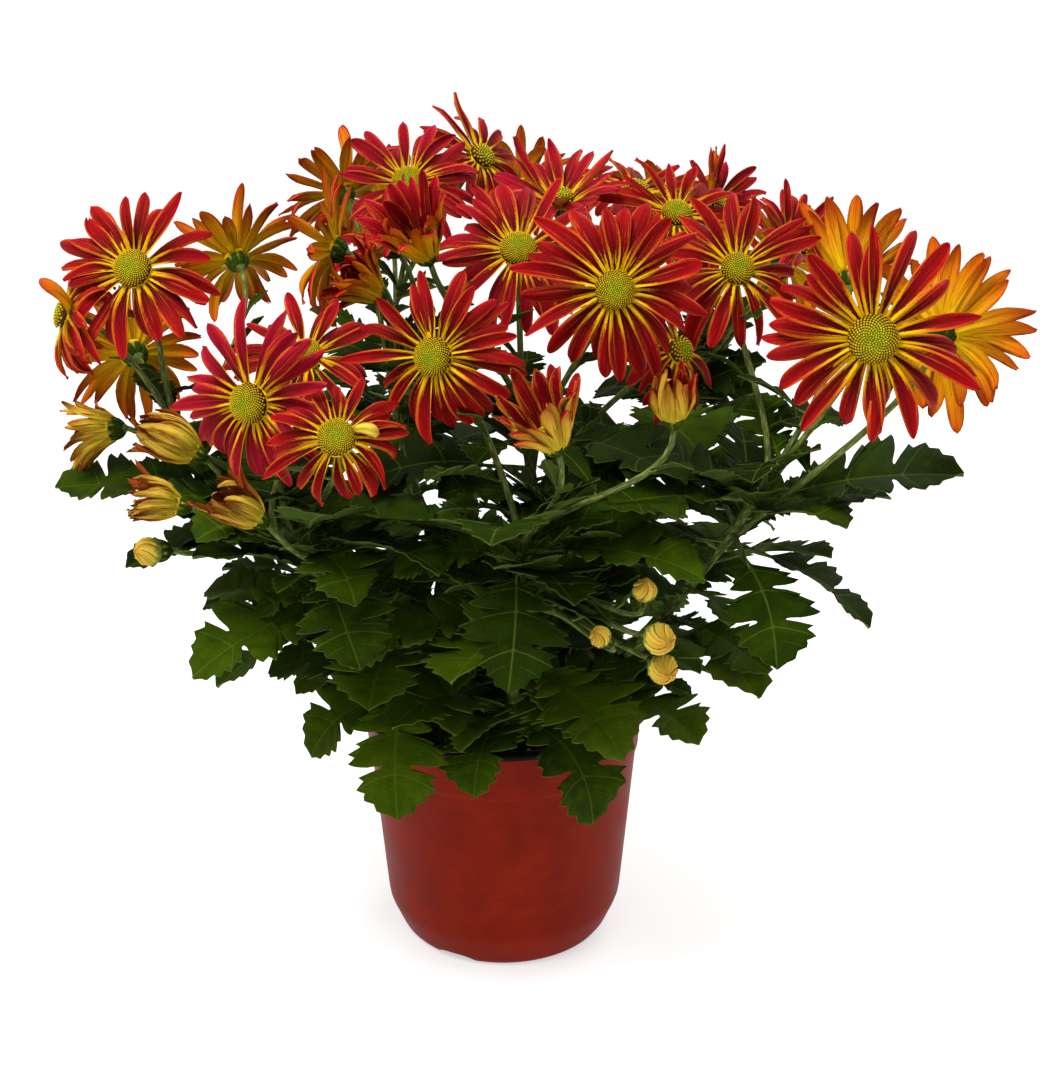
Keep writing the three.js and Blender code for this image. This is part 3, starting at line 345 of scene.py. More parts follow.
def cut_drains(piece):
    """Cuts the arched notches from the foot, and leaves the plain result in the piece."""
    steps = np.linspace(-0.5, 0.5, DRAIN_STEPS) * DRAIN_WIDTH
    arch = [(x, DRAIN_HEIGHT * (1 - (2 * x / DRAIN_WIDTH) ** 4)) for x in steps]
    outline = [(-DRAIN_WIDTH / 2, -1), *arch, (DRAIN_WIDTH / 2, -1)]
    near, far, n = BASE_RADIUS - 4 * WALL, FOOT_RADIUS + 6, len(outline)
    cutter = Mesh()
    for turn in np.radians(DRAIN_TURNS):
        c, s = math.cos(turn), math.sin(turn)
        rows = [(x * c + y * s, x * s - y * c, z) for y in (near, far) for x, z in outline]
        side = grid_faces(2, n, closed=True)
        cutter.add(rows, [side, np.arange(n)[None, :], (np.arange(n)[::-1] + n)[None, :]])
    mesh = bpy.data.meshes.new("drains")
    points = (np.concatenate(cutter.points) * MM).tolist()
    mesh.from_pydata(points, [], [tuple(f) for face in cutter.faces for f in face.tolist()])
    mesh.update()
    tool = new_object("drains", mesh)
    modifier = piece.modifiers.new("drains", "BOOLEAN")
    modifier.object = tool
    modifier.operation = "DIFFERENCE"
    modifier.solver = "EXACT"
    cut = piece.evaluated_get(bpy.context.evaluated_depsgraph_get())
    piece.data = bpy.data.meshes.new_from_object(cut)
    piece.modifiers.clear()
    bpy.data.objects.remove(tool)


# %% The pot
pot = Mesh()
pot.add(*turned(rounded(POT_PROFILE), POT_SIDES))
pot_piece = pot.piece("thin_pot", [terracotta_plastic, black_plastic], "pot_plastic", ["pot"])
cut_drains(pot_piece)
for face in pot_piece.data.polygons:
    x, y, z = (value / MM for value in face.center)
    far = math.hypot(x, y)
    outwards = (x * face.normal.x + y * face.normal.y) / max(far, 1)
    inner_wall = outwards < -0.1 and far > BASE_RADIUS - 4
    inner_floor = z > WALL / 2 and face.normal.z > 0.5
    lip = z > POT_HEIGHT - LIP_DROP and far > LIP_RADIUS - LIP_WIDTH - 1
    face.material_index = 1 if inner_wall or inner_floor or lip else 0
pot_piece.data.shade_smooth()
print("pot faces:", len(pot_piece.data.polygons))

# %% [markdown]
# Peat is a mass of dark crumbs and fibres with white grains of perlite. Its top is a grid of points lifted
# by several sizes of crumb, and the perlite is real geometry, because white grains on black stand out even
# small.

# %% Peat and perlite
SOIL_TOP = 98
SOIL_RADIUS = 60.4
SOIL_RINGS = 34
SOIL_SIDES = 96
SOIL_DIP = 1.5
# Each size of crumb: how wide and how high it is, in millimetres.
CRUMBS = [(9, 1.5), (4.2, 0.9), (2.1, 0.6)]
CRUMB_WAVES = 6
CRUMB_STRETCH = 1.6
PERLITE = 90
PERLITE_REACH = 57
GRAIN = [(0, -1), (0.75, -0.6), (1, 0), (0.7, 0.65), (0, 0.9)]
# A full turn, as the dice of this lesson have it.
TURN = 6.28


def peat_material():
    """Damp sphagnum peat: nearly black brown with redder fibres, and no gloss."""
    material, tree, shader = new_material("damp peat")
    place = add(tree, "TexCoord", out="Object")
    crumbs = add(tree, "TexNoise", {"Vector": place, "Scale": 1 / (2.5 * MM), "Detail": 6})
    colour = add(tree, "ValToRGB", [crumbs], stops=[(0.35, "#0D0806"), (0.55, "#1E130C"), (0.7, "#3A2417")])
    bump = add(tree, "Bump", {"Height": crumbs, "Strength": 0.9, "Distance": 1 * MM})
    feed(tree, shader, {"Base Color": colour, "Normal": bump, "Roughness": 0.95})
    return material


def perlite_material():
    """Expanded volcanic glass: brittle white foam. Its cells are finer, and are drawn at 0.6 mm to show."""
    material, tree, shader = new_material("perlite")
    place = add(tree, "TexCoord", out="Object")
    foam = add(tree, "TexVoronoi", {"Vector": place, "Scale": 1 / (0.6 * MM)})
    colour = add(tree, "ValToRGB", [foam], stops=[(0, "#F1EEE6"), (1, "#B9B2A4")])
    bump = add(tree, "Bump", {"Height": foam, "Strength": 0.5, "Distance": 0.3 * MM})
    feed(tree, shader, {"Base Color": colour, "Normal": bump, "Roughness": 0.9})
    return material


random = np.random.default_rng(7)
waves = []
for size, rise in CRUMBS:
    waves.append((random.normal(size=(CRUMB_WAVES, 2)), random.uniform(0, TURN, CRUMB_WAVES), size, rise))


def soil_height(x, y):
    """The lumpy top of the peat over a point."""
    height = SOIL_TOP - SOIL_DIP + 0 * x
    for headings, phases, size, rise in waves:
        for (a, b), phase in zip(headings, phases):
            wave = np.sin((a * x + b * y) * 2 * math.pi / size / CRUMB_STRETCH + phase)
            height = height + rise / CRUMB_WAVES * CRUMB_STRETCH * wave
    return height


profile = [(0, 1.6), (45, 1.6), (53.4, SHOULDER_HEIGHT)]
profile += [(SOIL_RADIUS * s, SOIL_TOP) for s in np.linspace(1, 0, SOIL_RINGS)]
points, faces = turned(profile, SOIL_SIDES)
on_top = points[:, 2] > SOIL_TOP - 1
points[on_top, 2] = soil_height(points[on_top, 0], points[on_top, 1])
peat = Mesh()
peat.add(points, faces)
for _ in range(PERLITE):
    angle, far = random.uniform(0, TURN), PERLITE_REACH * math.sqrt(random.uniform())
    size = random.uniform(0.7, 1.7)
    centre = np.array([far * math.cos(angle), far * math.sin(angle), 0])
    centre[2] = soil_height(centre[0], centre[1]) + 0.3 * size
    grain, sides = turned(GRAIN, 6)
    peat.add(centre + size * grain * random.uniform(0.75, 1.2, grain.shape), sides, finish=1)
peat.piece("peat_ball", [peat_material(), perlite_material()], "peat", ["soil"])

# %% [markdown]
# The plant follows a plan. The model's solids were grown from a table of heads, buds, stems and leaves,
# with small differences drawn from a steady dice, and each petal and leaf then bent or shrank until it was
# clear of its neighbours. The lesson repeats that table and those draws. Which bend each one took is read
# back from the frame: of all the shapes a petal may have tried, the one whose tip is a corner of the solid
# is the true one.

# %% The plan of the plant
FACE_ON = 9
# Each habit of a head, in degrees: how steeply its petals rise, how far the lower layer lies below the upper
# one, how far a petal turns on its way out, and how much more those at the head's foot hang.
HABITS = {
    "open": {"rise": 15, "layer": 13, "curl": -26, "hang": 26},
    "flat": {"rise": 4, "layer": 12, "curl": -34, "hang": 14},
    "cup": {"rise": 46, "layer": 14, "curl": -14, "hang": 6},
    "half": {"rise": 66, "layer": 12, "curl": -6, "hang": 0},
    "brush": {"rise": 74, "layer": 10, "curl": 12, "hang": 0},
}
# Each leafy stem: where it leaves the peat, and the points that it climbs through, in millimetres.
STEMS = [
    [(-26, -18, 106), (-42, -42, 150), (-68, -78, 205), (-84, -104, 232)],
    [(-34, 6, 106), (-62, -4, 150), (-98, -22, 200), (-122, -40, 232)],
    [(2, -34, 106), (6, -58, 150), (10, -92, 200), (8, -112, 232)],
    [(6, -8, 106), (10, -22, 160), (14, -46, 220), (10, -62, 262)],
    [(32, -16, 106), (56, -34, 150), (86, -66, 205), (102, -86, 240)],
    [(26, 22, 106), (44, 28, 150), (66, 32, 210), (78, 30, 256)],
    [(-16, 28, 106), (-26, 40, 150), (-44, 42, 210), (-52, 40, 256)],
]
# Each head: the middle of its disc, where it faces (azimuth, elevation), petal length, disc radius, habit,
# petals in a layer, and the stem that carries it. The first nine face the front.
HEADS = [
    ((130, -150, 317), (-5, 12), 33, 8.7, "open", 10, 4),
    ((43, -115, 327), (0, 14), 31, 7.2, "open", 10, 3),
    ((8, -75, 336), (0, 42), 30, 7, "open", 9, 3),
    ((-23, -130, 306), (-20, 12), 28, 7, "open", 9, 2),
    ((-41, 30, 346), (-5, 35), 28, 7, "open", 9, 6),
    ((-141, -70, 327), (-10, 30), 30, 7.4, "open", 9, 1),
    ((-89, -135, 290), (-25, 8), 29, 7.4, "open", 9, 0),
    ((-73, -90, 299), (-10, 50), 27, 6.4, "open", 8, 0),
    ((-54, -160, 286), (0, 34), 22, 6.6, "flat", 8, 0),
    ((-28, -92, 340), (-30, 55), 29, 5.6, "half", 6, 3),
    ((-173, -60, 307), (-70, 20), 25, 5.8, "flat", 7, 1),
    ((-157, -12, 280), (-150, 5), 28, 6.4, "open", 6, 1),
    ((-166, -36, 252), (-100, -6), 19, 5.6, "half", 6, 1),
    ((19, -152, 285), (-42, 62), 27, 5.6, "half", 6, 2),
    ((64, -122, 286), (-20, 72), 20, 4.6, "brush", 5, 2),
    ((-72, -28, 327), (-100, 14), 27, 6.2, "open", 6, 6),
    ((-50, 4, 325), (-70, 48), 26, 5.8, "cup", 6, 6),
    ((-54, -34, 312), (-60, 42), 23, 5, "half", 6, 6),
    ((-74, 55, 340), (-140, 40), 27, 6, "open", 6, 6),
    ((-8, 72, 352), (50, 40), 27, 6, "open", 6, 6),
    ((25, 10, 343), (0, 66), 28, 5.8, "cup", 6, 5),
    ((60, 58, 340), (20, 70), 28, 6, "open", 6, 5),
    ((74, -2, 338), (5, 46), 28, 6.2, "open", 8, 5),
    ((98, 44, 334), (60, 34), 26, 5.8, "cup", 6, 5),
    ((93, -65, 326), (5, 32), 30, 6.4, "open", 8, 4),
    ((129, 16, 322), (50, 48), 26, 5.8, "cup", 6, 5),
    ((138, -56, 324), (170, 40), 31, 6, "cup", 6, 4),
    ((166, -100, 309), (156, 10), 31, 6.2, "open", 7, 4),
    ((72, -76, 296), (40, 24), 24, 5.4, "flat", 6, 3),
    ((-124, 62, 308), (-150, 30), 29, 6.2, "open", 6, 1),
    ((-58, 122, 322), (-165, 34), 29, 6.2, "open", 6, 6),
    ((8, 140, 330), (175, 38), 29, 6.2, "open", 6, 6),
    ((74, 118, 320), (160, 34), 29, 6.2, "open", 6, 5),
    ((134, 82, 304), (140, 26), 29, 6.2, "open", 6, 5),
]
BRUSHES = [
    ((-120, -93, 262), (-78, 38), 25, 4.6, "brush", 5, 1),
    ((-126, -104, 243), (-76, 20), 19, 4.2, "brush", 5, 1),
    ((-92, -124, 246), (-62, 42), 20, 4.4, "brush", 5, 0),
]
# The round buds: the middle of the seat, where it points, length, radius and stem.
BALLS = [
    ((-132, -98, 221), (-50, 10), 10, 5, 1),
    ((55, -130, 215), (0, 60), 8, 4, 2),
    ((58, -136, 201), (30, 10), 11, 5.4, 2),
    ((40, -134, 199), (-40, 40), 7, 3.5, 2),
    ((61, -130, 187), (20, 0), 10, 5.2, 2),
]
RIM_HEIGHT = 2.4
DISC_MIDDLE = 0.5
UP = np.array([0.0, 0.0, 1.0])


# %% The dice, and the seats of heads and buds
class Dice:
    """The steady dice that the model's solids were drawn with."""

    def __init__(self, seed):
        self.state = seed
        self.roll()

    def roll(self):
        self.state = (self.state * 1664525 + 1013904223) % 2**32
        return self.state / 2**32

    def around(self, middle, spread):
        return middle + spread * (2 * self.roll() - 1)


def seat_of(at, faces, depth=0.0):
    """The frame of a head or bud as a matrix: Z the way it faces, X level, and Y its upper side."""
    azimuth, elevation = np.radians(faces)
    flat = math.cos(elevation)
    z = np.array([math.sin(azimuth) * flat, -math.cos(azimuth) * flat, math.sin(elevation)])
    x = np.cross(UP, z)
    x /= np.linalg.norm(x)
    seat = np.eye(4)
    seat[:3, :3] = np.stack([x, np.cross(z, x), z], axis=1)
    seat[:3, 3] = np.array(at, float) - z * depth
    return seat


def corners_of(node):
    """A solid's corners in millimetres."""
    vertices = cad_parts[node].data.vertices
    held = np.zeros(3 * len(vertices))
    vertices.foreach_get("co", held)
    return held.reshape(-1, 3) / MM


flowers = []
for i, row in enumerate(HEADS + BRUSHES):
    flower = dict(zip(("at", "faces", "petal", "disc", "habit", "petals", "stem"), row))
    brush = i - len(HEADS)
    flower["node"] = f"bud_{brush + 1}" if brush >= 0 else f"bloom_{i + 1:02d}"
    flower["fine"] = i < FACE_ON
    flower["seed"] = i + 1
    flower["seat"] = seat_of(flower["at"], flower["faces"], RIM_HEIGHT + DISC_MIDDLE * flower["disc"])
    flowers.append(flower)
balls = []
for i, row in enumerate(BALLS):
    ball = dict(zip(("at", "faces", "long", "wide", "stem"), row))
    ball["node"] = f"bud_{len(BRUSHES) + i + 1}"
    ball["seat"] = seat_of(ball["at"], ball["faces"])
    balls.append(ball)
print("heads and brush buds:", len(flowers), " round buds:", len(balls))

# %% [markdown]
# Petals, leaves and stalks are all bent strips, so they share one formula: a point on an arc that sets out
# at one angle above the level and ends at another. A petal of the model is a strip along such an arc.

# %% Arcs and petals, as the frame holds them
PETAL_SHAPE = 0.27
PETAL_TRIES = [
    (share, bend, turn)
    for share in (1, 0.84, 0.68, 0.5)
    for bend in (0, 26, -26, 52, -52, 80, -80, 112)
    for turn in (0, 9, -9)
]
# What the dice decides for each petal, as a middle value and its spread.
NATURE = {
    "rise": (0, 4),
    "curl": (0, 14),
    "length": (0.93, 0.08),
    "width": (1, 0.12),
    "sway": (0, 4),
    "twist": (0, 16),
}
BLUNT_TIP = 0.6
MATCH = 0.05


def arc(start, level, length, rise, end, share):
    """Points at these shares of an arc that leaves at one angle, rise, and arrives at another, end."""
    share = np.asarray(share, float)
    turn = np.radians(end - rise) * share
    middle = np.radians(rise) + turn / 2
    chord = length * share * np.sinc(turn / 2 / math.pi)
    return start + (chord * np.cos(middle))[..., None] * level + (chord * np.sin(middle))[..., None] * UP


def headed(angle):
    """The level direction at this angle, and the one to its left."""
    c, s = math.cos(angle), math.sin(angle)
    return np.array([c, s, 0]), np.array([-s, c, 0])


def petal_frame(petal, share):
    """A petal's middle at these shares of its length, with its upward and its sideways direction there."""
    share = np.asarray(share, float)
    middle = arc(petal["start"], petal["level"], petal["length"], petal["rise"], petal["end"], share)
    angle = np.radians(petal["rise"] + (petal["end"] - petal["rise"]) * share)[..., None]
    twist = (petal["twist"] * share)[..., None]
    normal = UP * np.cos(angle) - petal["level"] * np.sin(angle)
    side = petal["across"] * np.cos(twist) + normal * np.sin(twist)
    face = normal * np.cos(twist) - petal["across"] * np.sin(twist)
    return middle, face, side


def petal_shapes(flower):
    """Every petal of a head that the frame holds, as the values of its arc."""
    corners = corners_of(flower["node"])
    habit = HABITS[flower["habit"]]
    dice = Dice(flower["seed"])
    found = []
    for i in range(2 * flower["petals"]):
        upper = i % 2 == 0
        nature = {key: dice.around(*spread) for key, spread in NATURE.items()}
        turned_to = 2 * math.pi * (i // 2 + 0.5 * upper) / flower["petals"]
        down = max(0, -math.sin(turned_to)) * math.cos(math.radians(flower["faces"][1]))
        rise = habit["rise"] - (0 if upper else habit["layer"]) + nature["rise"]
        start = flower["disc"] * headed(turned_to)[0] + UP * RIM_HEIGHT * upper
        tries = []
        for share, bend, turn in PETAL_TRIES:
            level, across = headed(turned_to + math.radians(nature["sway"] + turn))
            petal = {
                "upper": upper,
                "start": start,
                "level": level,
                "across": across,
                "rise": rise,
                "end": rise + habit["curl"] + nature["curl"] - habit["hang"] * down + bend,
                "length": flower["petal"] * nature["length"] * share,
                "half": 0.5 * PETAL_SHAPE * flower["petal"] * nature["width"],
                "twist": math.radians(nature["twist"]),
            }
            tip, _, side = petal_frame(petal, 1.0)
            if not flower["fine"]:
                tip = tip + BLUNT_TIP * petal["half"] * side
            miss = np.linalg.norm(corners - move(tip, flower["seat"]), axis=1).min()
            tries.append((miss, petal))
        miss, petal = min(tries, key=lambda one: one[0])
        if miss < MATCH:
            found.append(petal)
    return found


# %% [markdown]
# The solids have room for few petals, and a real head is fuller: one more petal goes in most gaps. Then
# each petal grows in its own way. It gives way to its weight where it hangs, and twists and ruffles by
# chance. Heads that turn away are younger than those in front, and stay a little closed.

# %% More petals, and the way each one grows
# Gaps between these angles, in degrees, get a petal, and the smaller ones of them only by chance.
FILL_GAP = (14, 70)
SMALL_GAP = 24
SMALL_GAP_CHANCE = 0.45
FILL_DROP = 5
FILL_LENGTH = 0.93
FILL_HEIGHT = 0.4
FACE_RUFFLE = 1.45
RUFFLES = {"open": 1.5, "flat": 1.5, "cup": 1.3, "half": 0.9, "brush": 0.6}
# How far chance bends a petal: degrees of rise and bend, radians of twist, and millimetres of drift aside.
CHANCES = {"rise": 3, "end": 12, "twist": 0.24, "bow": 2.0}
FARTHEST_CHANCE = 1.7
# How far a petal gives way to its weight: the bend by its tip in degrees, and the tip's drift aside in
# millimetres, for any petal and more for one that hangs.
HANGS = {"open": 34, "flat": 30, "cup": 24, "half": 10, "brush": 4}
SIDE_HANG = 3.4
LOW_HANG = 5.5
CLOSINGS = {"half": 20, "brush": 48}
TURNED_CLOSING = 30
BRUSH_NARROW = 0.8
# Ranges of a petal's width and length as shares of its solid's, its tip's curl in millimetres, and its taper.
OWN_WIDTH = (0.66, 0.88)
OWN_LENGTH = (0.84, 1.06)
TIP_CURL = (-4.2, 1.8)
TIP_TAPER = (0, 0.45)
HOOKED_SHARE = 0.16
HOOKED_CURL = 2.1


def fill_between(flower):
    """More petals in the gaps of a head, each between two neighbours and a little below them."""
    turns = [math.atan2(p["start"][1], p["start"][0]) for p in flower["found"]]
    order = np.argsort(turns)
    random = np.random.default_rng(60 + flower["seed"])
    extra = []
    for a, b in zip(order, np.roll(order, -1)):
        gap = (turns[b] - turns[a]) % (2 * math.pi)
        chance = random.uniform()
        small = math.degrees(gap) < SMALL_GAP and chance > SMALL_GAP_CHANCE
        if small or not FILL_GAP[0] < math.degrees(gap) < FILL_GAP[1]:
            continue
        one, two = flower["found"][a], flower["found"][b]
        petal = {key: 0.5 * (one[key] + two[key]) for key in ("rise", "end", "length", "half", "twist")}
        petal["rise"] -= FILL_DROP
        petal["length"] *= FILL_LENGTH
        petal["upper"] = False
        petal["level"], petal["across"] = headed(turns[a] + gap / 2)
        petal["start"] = flower["disc"] * petal["level"] + UP * FILL_HEIGHT * RIM_HEIGHT
        extra.append(petal)
    return extra


def steady(random):
    """A normal draw without the rare far ones."""
    return float(np.clip(random.normal(), -FARTHEST_CHANCE, FARTHEST_CHANCE))


def ruffled(flower, petal, random):
    """A petal as it grew: narrower than its solid, and bent, turned and weighed down in a way of its own."""
    wild = FACE_RUFFLE if flower["fine"] else RUFFLES[flower["habit"]]
    brush = flower["habit"] == "brush"
    turn = flower["seat"][:3, :3]
    facing = turn[:, 2] @ np.subtract(CAMERA_AT, flower["seat"][:3, 3] * MM)
    down = max(0.0, -(turn @ petal["level"])[2])
    aside = (turn @ petal["across"])[2]
    hang = HANGS[flower["habit"]] * down
    closed = CLOSINGS.get(flower["habit"], TURNED_CLOSING if facing < 0 else 0)
    lifted = -closed / 4 if brush else closed / 3
    grown = dict(petal)
    grown["half"] = petal["half"] * random.uniform(*OWN_WIDTH) * (BRUSH_NARROW if brush else 1)
    grown["rise"] = petal["rise"] + CHANCES["rise"] * wild * steady(random) + lifted
    bent = petal["end"] + CHANCES["end"] * wild * steady(random)
    grown["end"] = bent - hang * random.uniform(0.3, 1) + closed
    grown["twist"] = petal["twist"] + CHANCES["twist"] * wild * steady(random)
    grown["length"] = petal["length"] * random.uniform(*OWN_LENGTH)
    grown["bow"] = -aside * (SIDE_HANG + LOW_HANG * down) + CHANCES["bow"] * wild * steady(random)
    hooked = random.uniform() < HOOKED_SHARE
    grown["curl"] = random.uniform(*TIP_CURL) * (HOOKED_CURL if hooked else 1)
    grown["taper"] = random.uniform(*TIP_TAPER)
    return grown


for flower in flowers:
    flower["found"] = petal_shapes(flower)
    flower["found"] += fill_between(flower)
counts = [len(flower["found"]) for flower in flowers]
print("petals:", sum(counts), "where the model tried for", sum(2 * flower["petals"] for flower in flowers))
print("on each head:", counts)

# %% [markdown]
# A ray petal of this kind is a painted strap. A crimson stripe starts as a narrow wedge at the base, widens
# to nearly the whole width near the tip, and is streaked lengthwise. Its margins are clear yellow near the
# disc, turn to orange and red on the way out, and end in a thin bright edge. The back is golden with rusty
# flecks, and the crimson shows round its edge. The colour is painted by two marks, along and across the
# petal, with a noise that is stretched along it. The cells of a petal's skin give a soft sheen and no hard
# gloss.

# %% Petal finish
# How wide the stripe is at each place along the petal, as a share of the half width.
STRIPE_WIDTHS = [(0.0, 0.24), (0.12, 0.5), (0.35, 0.67), (0.6, 0.77), (0.8, 0.86), (0.92, 0.96), (1.0, 1.0)]
THREAD = "#D2741A"
PALE_STREAK = "#B83A0E"


def petal_finish(name, stripe, blush, margin, edge_line, back, streak, warmth):
    """Living petal skin. Streak and warmth are the colour of the back's flecks and how much of them shows."""
    material, tree, shader = new_material(name)
    # Rim holds how golden the head is as a whole, from crimson at 0 to broad yellow margins at 1.
    along, across, under, seed, golden = (
        add(tree, "Attribute", attribute_name=mark, out="Fac")
        for mark in ("along", "across", "under", "seed", "rim")
    )
    # A petal is about 8 mm wide and 30 mm long, and its streaks are 0.4 mm wide and many times as long.
    shift = add(tree, "Math", [seed, 37.0], operation="MULTIPLY")
    drawn_out = add(tree, "Math", [along, 0.22], operation="MULTIPLY")
    grain_at = add(tree, "CombineXYZ", [across, drawn_out, shift])
    streaks = add(tree, "TexNoise", {"Vector": grain_at, "Scale": 7.0, "Detail": 3.0, "Roughness": 0.6})
    fleck_at = add(tree, "CombineXYZ", [across, along, shift])
    flecks = add(tree, "TexNoise", {"Vector": fleck_at, "Scale": 22.0, "Detail": 3.0})
    grainy = add(tree, "Math", [flecks, 0.5, streaks], operation="MULTIPLY_ADD")
    # The stripe ends where the frayed distance from the middle passes its width, which a crimson head widens.
    away = add(tree, "Math", [across], operation="ABSOLUTE")
    ragged = add(tree, "MapRange", [grainy, 0.5, 1.0, -0.3, 0.3])
    frayed = add(tree, "Math", [away, ragged], operation="ADD")
    width = add(tree, "ValToRGB", [along], stops=STRIPE_WIDTHS)
    crimson = add(tree, "Math", [golden, -0.4, 0.4], operation="MULTIPLY_ADD")
    edge = add(tree, "Math", [crimson, along, width], operation="MULTIPLY_ADD")
    past = add(tree, "Math", [frayed, edge], operation="SUBTRACT")
    outside = add(tree, "MapRange", [past, -0.09, 0.08], interpolation_type="SMOOTHSTEP")
    # The heads with the least gold in them lean towards magenta, most of all at their tips.
    stripe_colour = add(tree, "ValToRGB", [along], stops=stripe)
    cool = add(tree, "MapRange", [golden, 0, 0.34, 0.8, 0.1])
    outer = add(tree, "MapRange", [along, 0.2, 0.95, 0.3, 1])
    cool = add(tree, "Math", [cool, outer], operation="MULTIPLY")
    stripe_colour = add(tree, "Mix", {0: cool, 6: stripe_colour, 7: blush}, **COLOUR_MIX)
    # Pale streaks lie in the stripe, broken into freckles.
    pale = add(tree, "MapRange", [streaks, 0.54, 0.68, 0, 0.75])
    freckled = add(tree, "MapRange", [flecks, 0.4, 0.6])
    pale = add(tree, "Math", [pale, freckled], operation="MULTIPLY")
    streaked = add(tree, "Mix", {0: pale, 6: stripe_colour, 7: PALE_STREAK}, **COLOUR_MIX)
    # A pale thread runs along the face, elsewhere on every petal, and breaks up and fades towards the tip.
    thread_at = add(tree, "MapRange", [seed, 0, 1, -0.5, 0.5])
    aside = add(tree, "Math", [across, thread_at], operation="SUBTRACT")
    near = add(tree, "Math", [aside], operation="ABSOLUTE")
    thread = add(tree, "MapRange", [near, 0.015, 0.07, 1, 0])
    broken = add(tree, "MapRange", [streaks, 0.47, 0.6])
    fading = add(tree, "MapRange", [along, 0.2, 0.9, 0.75, 0.1])
    thread = add(tree, "Math", [thread, broken], operation="MULTIPLY")
    thread = add(tree, "Math", [thread, fading], operation="MULTIPLY")
    mixed = add(tree, "Mix", {0: thread, 6: streaked, 7: THREAD}, **COLOUR_MIX)
    # The middle is darker, partly as the pigment lies thickest there and partly as painted shade that gives
    # the petal depth.
    deep = add(tree, "MapRange", [away, 0.05, 0.75, 0.76, 1.12])
    mixed = add(tree, "HueSaturation", {"Color": mixed, "Value": deep})
    # From a fifth of the way out the margins redden, most on a crimson head, and are mottled like the stripe.
    margin_colour = add(tree, "ValToRGB", [along], stops=margin)
    outward = add(tree, "MapRange", [along, 0.2, 0.6])
    redder = add(tree, "Math", [golden, -0.7, 0.75], operation="MULTIPLY_ADD")
    redder = add(tree, "Math", [redder, outward], operation="MULTIPLY")
    margin_colour = add(tree, "Mix", {0: redder, 6: margin_colour, 7: streak}, **COLOUR_MIX)
    mottle = add(tree, "MapRange", [grainy, 0.62, 0.86])
    mottle = add(tree, "Math", [mottle, outward], operation="MULTIPLY")
    margin_colour = add(tree, "Mix", {0: mottle, 6: margin_colour, 7: stripe_colour}, **COLOUR_MIX)
    face = add(tree, "Mix", {0: outside, 6: mixed, 7: margin_colour}, **COLOUR_MIX)
    # The very edge is drawn round with a broken thin line, and no two petals have the same pigment.
    line = add(tree, "MapRange", [frayed, 0.72, 0.98, 0, 0.85])
    fading = add(tree, "MapRange", [along, 0.5, 1.0, 1, 0.4])
    line = add(tree, "Math", [line, fading], operation="MULTIPLY")
    line = add(tree, "Math", [line, outward], operation="MULTIPLY")
    face = add(tree, "Mix", {0: line, 6: face, 7: edge_line}, **COLOUR_MIX)
    own = add(tree, "MapRange", [seed, 0, 1, 0.8, 1.1])
    face = add(tree, "HueSaturation", {"Color": face, "Value": own})
    # Some petals are rusty behind, and all are more so near the tip.
    behind = add(tree, "ValToRGB", [along], stops=back)
    rusty = add(tree, "MapRange", [seed, 0.3, 1, 0, 0.8])
    outer = add(tree, "MapRange", [along, 0.25, 0.95, 0.15, 1])
    rusty = add(tree, "Math", [rusty, outer], operation="MULTIPLY")
    behind = add(tree, "Mix", {0: rusty, 6: behind, 7: streak}, **COLOUR_MIX)
    flecked = add(tree, "MapRange", [streaks, 0.5, 0.66, 0, warmth])
    behind = add(tree, "Mix", {0: flecked, 6: behind, 7: streak}, **COLOUR_MIX)
    # The crimson of the face shows round the edge of the back, most of all near the tip.
    turned_edge = add(tree, "MapRange", [frayed, 0.62, 1.0, 0, 0.9])
    turned_edge = add(tree, "Math", [turned_edge, outer], operation="MULTIPLY")
    behind = add(tree, "Mix", {0: turned_edge, 6: behind, 7: stripe_colour}, **COLOUR_MIX)
    # Some fourteen fine ridges run along a petal, about 0.6 mm apart, and painted shade darkens the back
    # between them.
    phase = add(tree, "Math", [across, 44.0], operation="MULTIPLY")
    ridges = add(tree, "Math", [phase], operation="SINE")
    groove_shade = add(tree, "MapRange", [ridges, -1.0, 1.0, 0.72, 1.08])
    behind = add(tree, "HueSaturation", {"Color": behind, "Value": groove_shade})
    skin = add(tree, "Mix", {0: under, 6: face, 7: behind}, **COLOUR_MIX)
    lifted = add(tree, "Math", [streaks, flecks], operation="ADD")
    relief = add(tree, "Math", [ridges, 0.35, lifted], operation="MULTIPLY_ADD")
    bump = add(tree, "Bump", {"Height": relief, "Strength": 0.45, "Distance": 0.25 * MM})
    feed(tree, shader, {"Base Color": skin, "Normal": bump})
    feed(tree, shader, {"Roughness": 0.55, "IOR": 1.42, "Specular IOR Level": 0.06})
    return material


# %% [markdown]
# One recipe serves every age of petal. Open ones are crimson with a golden back, the half-open ones are
# paler behind, and young ones are yellow with brown streaks. The papery scales of a bud and its folded
# petals are skins of the same kind, in the colours of straw and butter.

# %% Petal skins
petal_skin = petal_finish(
    "ray petal skin",
    # The darkest stop at the base is partly painted shade where the petals crowd round the disc.
    stripe=[(0, "#340102"), (0.3, "#5C0204"), (0.7, "#860406"), (1, "#9A060C")],
    blush="#9C0A2A",
    margin=[(0, "#DEB204"), (0.3, "#D69408"), (0.5, "#C8640C"), (0.75, "#B03C0C"), (1, "#98140C")],
    edge_line="#D0641A",
    back=[(0, "#F2C410"), (0.55, "#EC990C"), (1, "#DA5C0A")],
    streak="#9A2A08",
    warmth=0.6,
)
opening_skin = petal_finish(
    "opening petal skin",
    stripe=[(0, "#500404"), (0.5, "#700404"), (1, "#8A0608")],
    blush="#8A0618",
    margin=[(0, "#DCBC20"), (0.5, "#D49418"), (1, "#B0500E")],
    edge_line="#D08C20",
    back=[(0, "#D0B82C"), (0.5, "#E2BC3A"), (1, "#CE9028")],
    streak="#94380E",
    warmth=0.6,
)
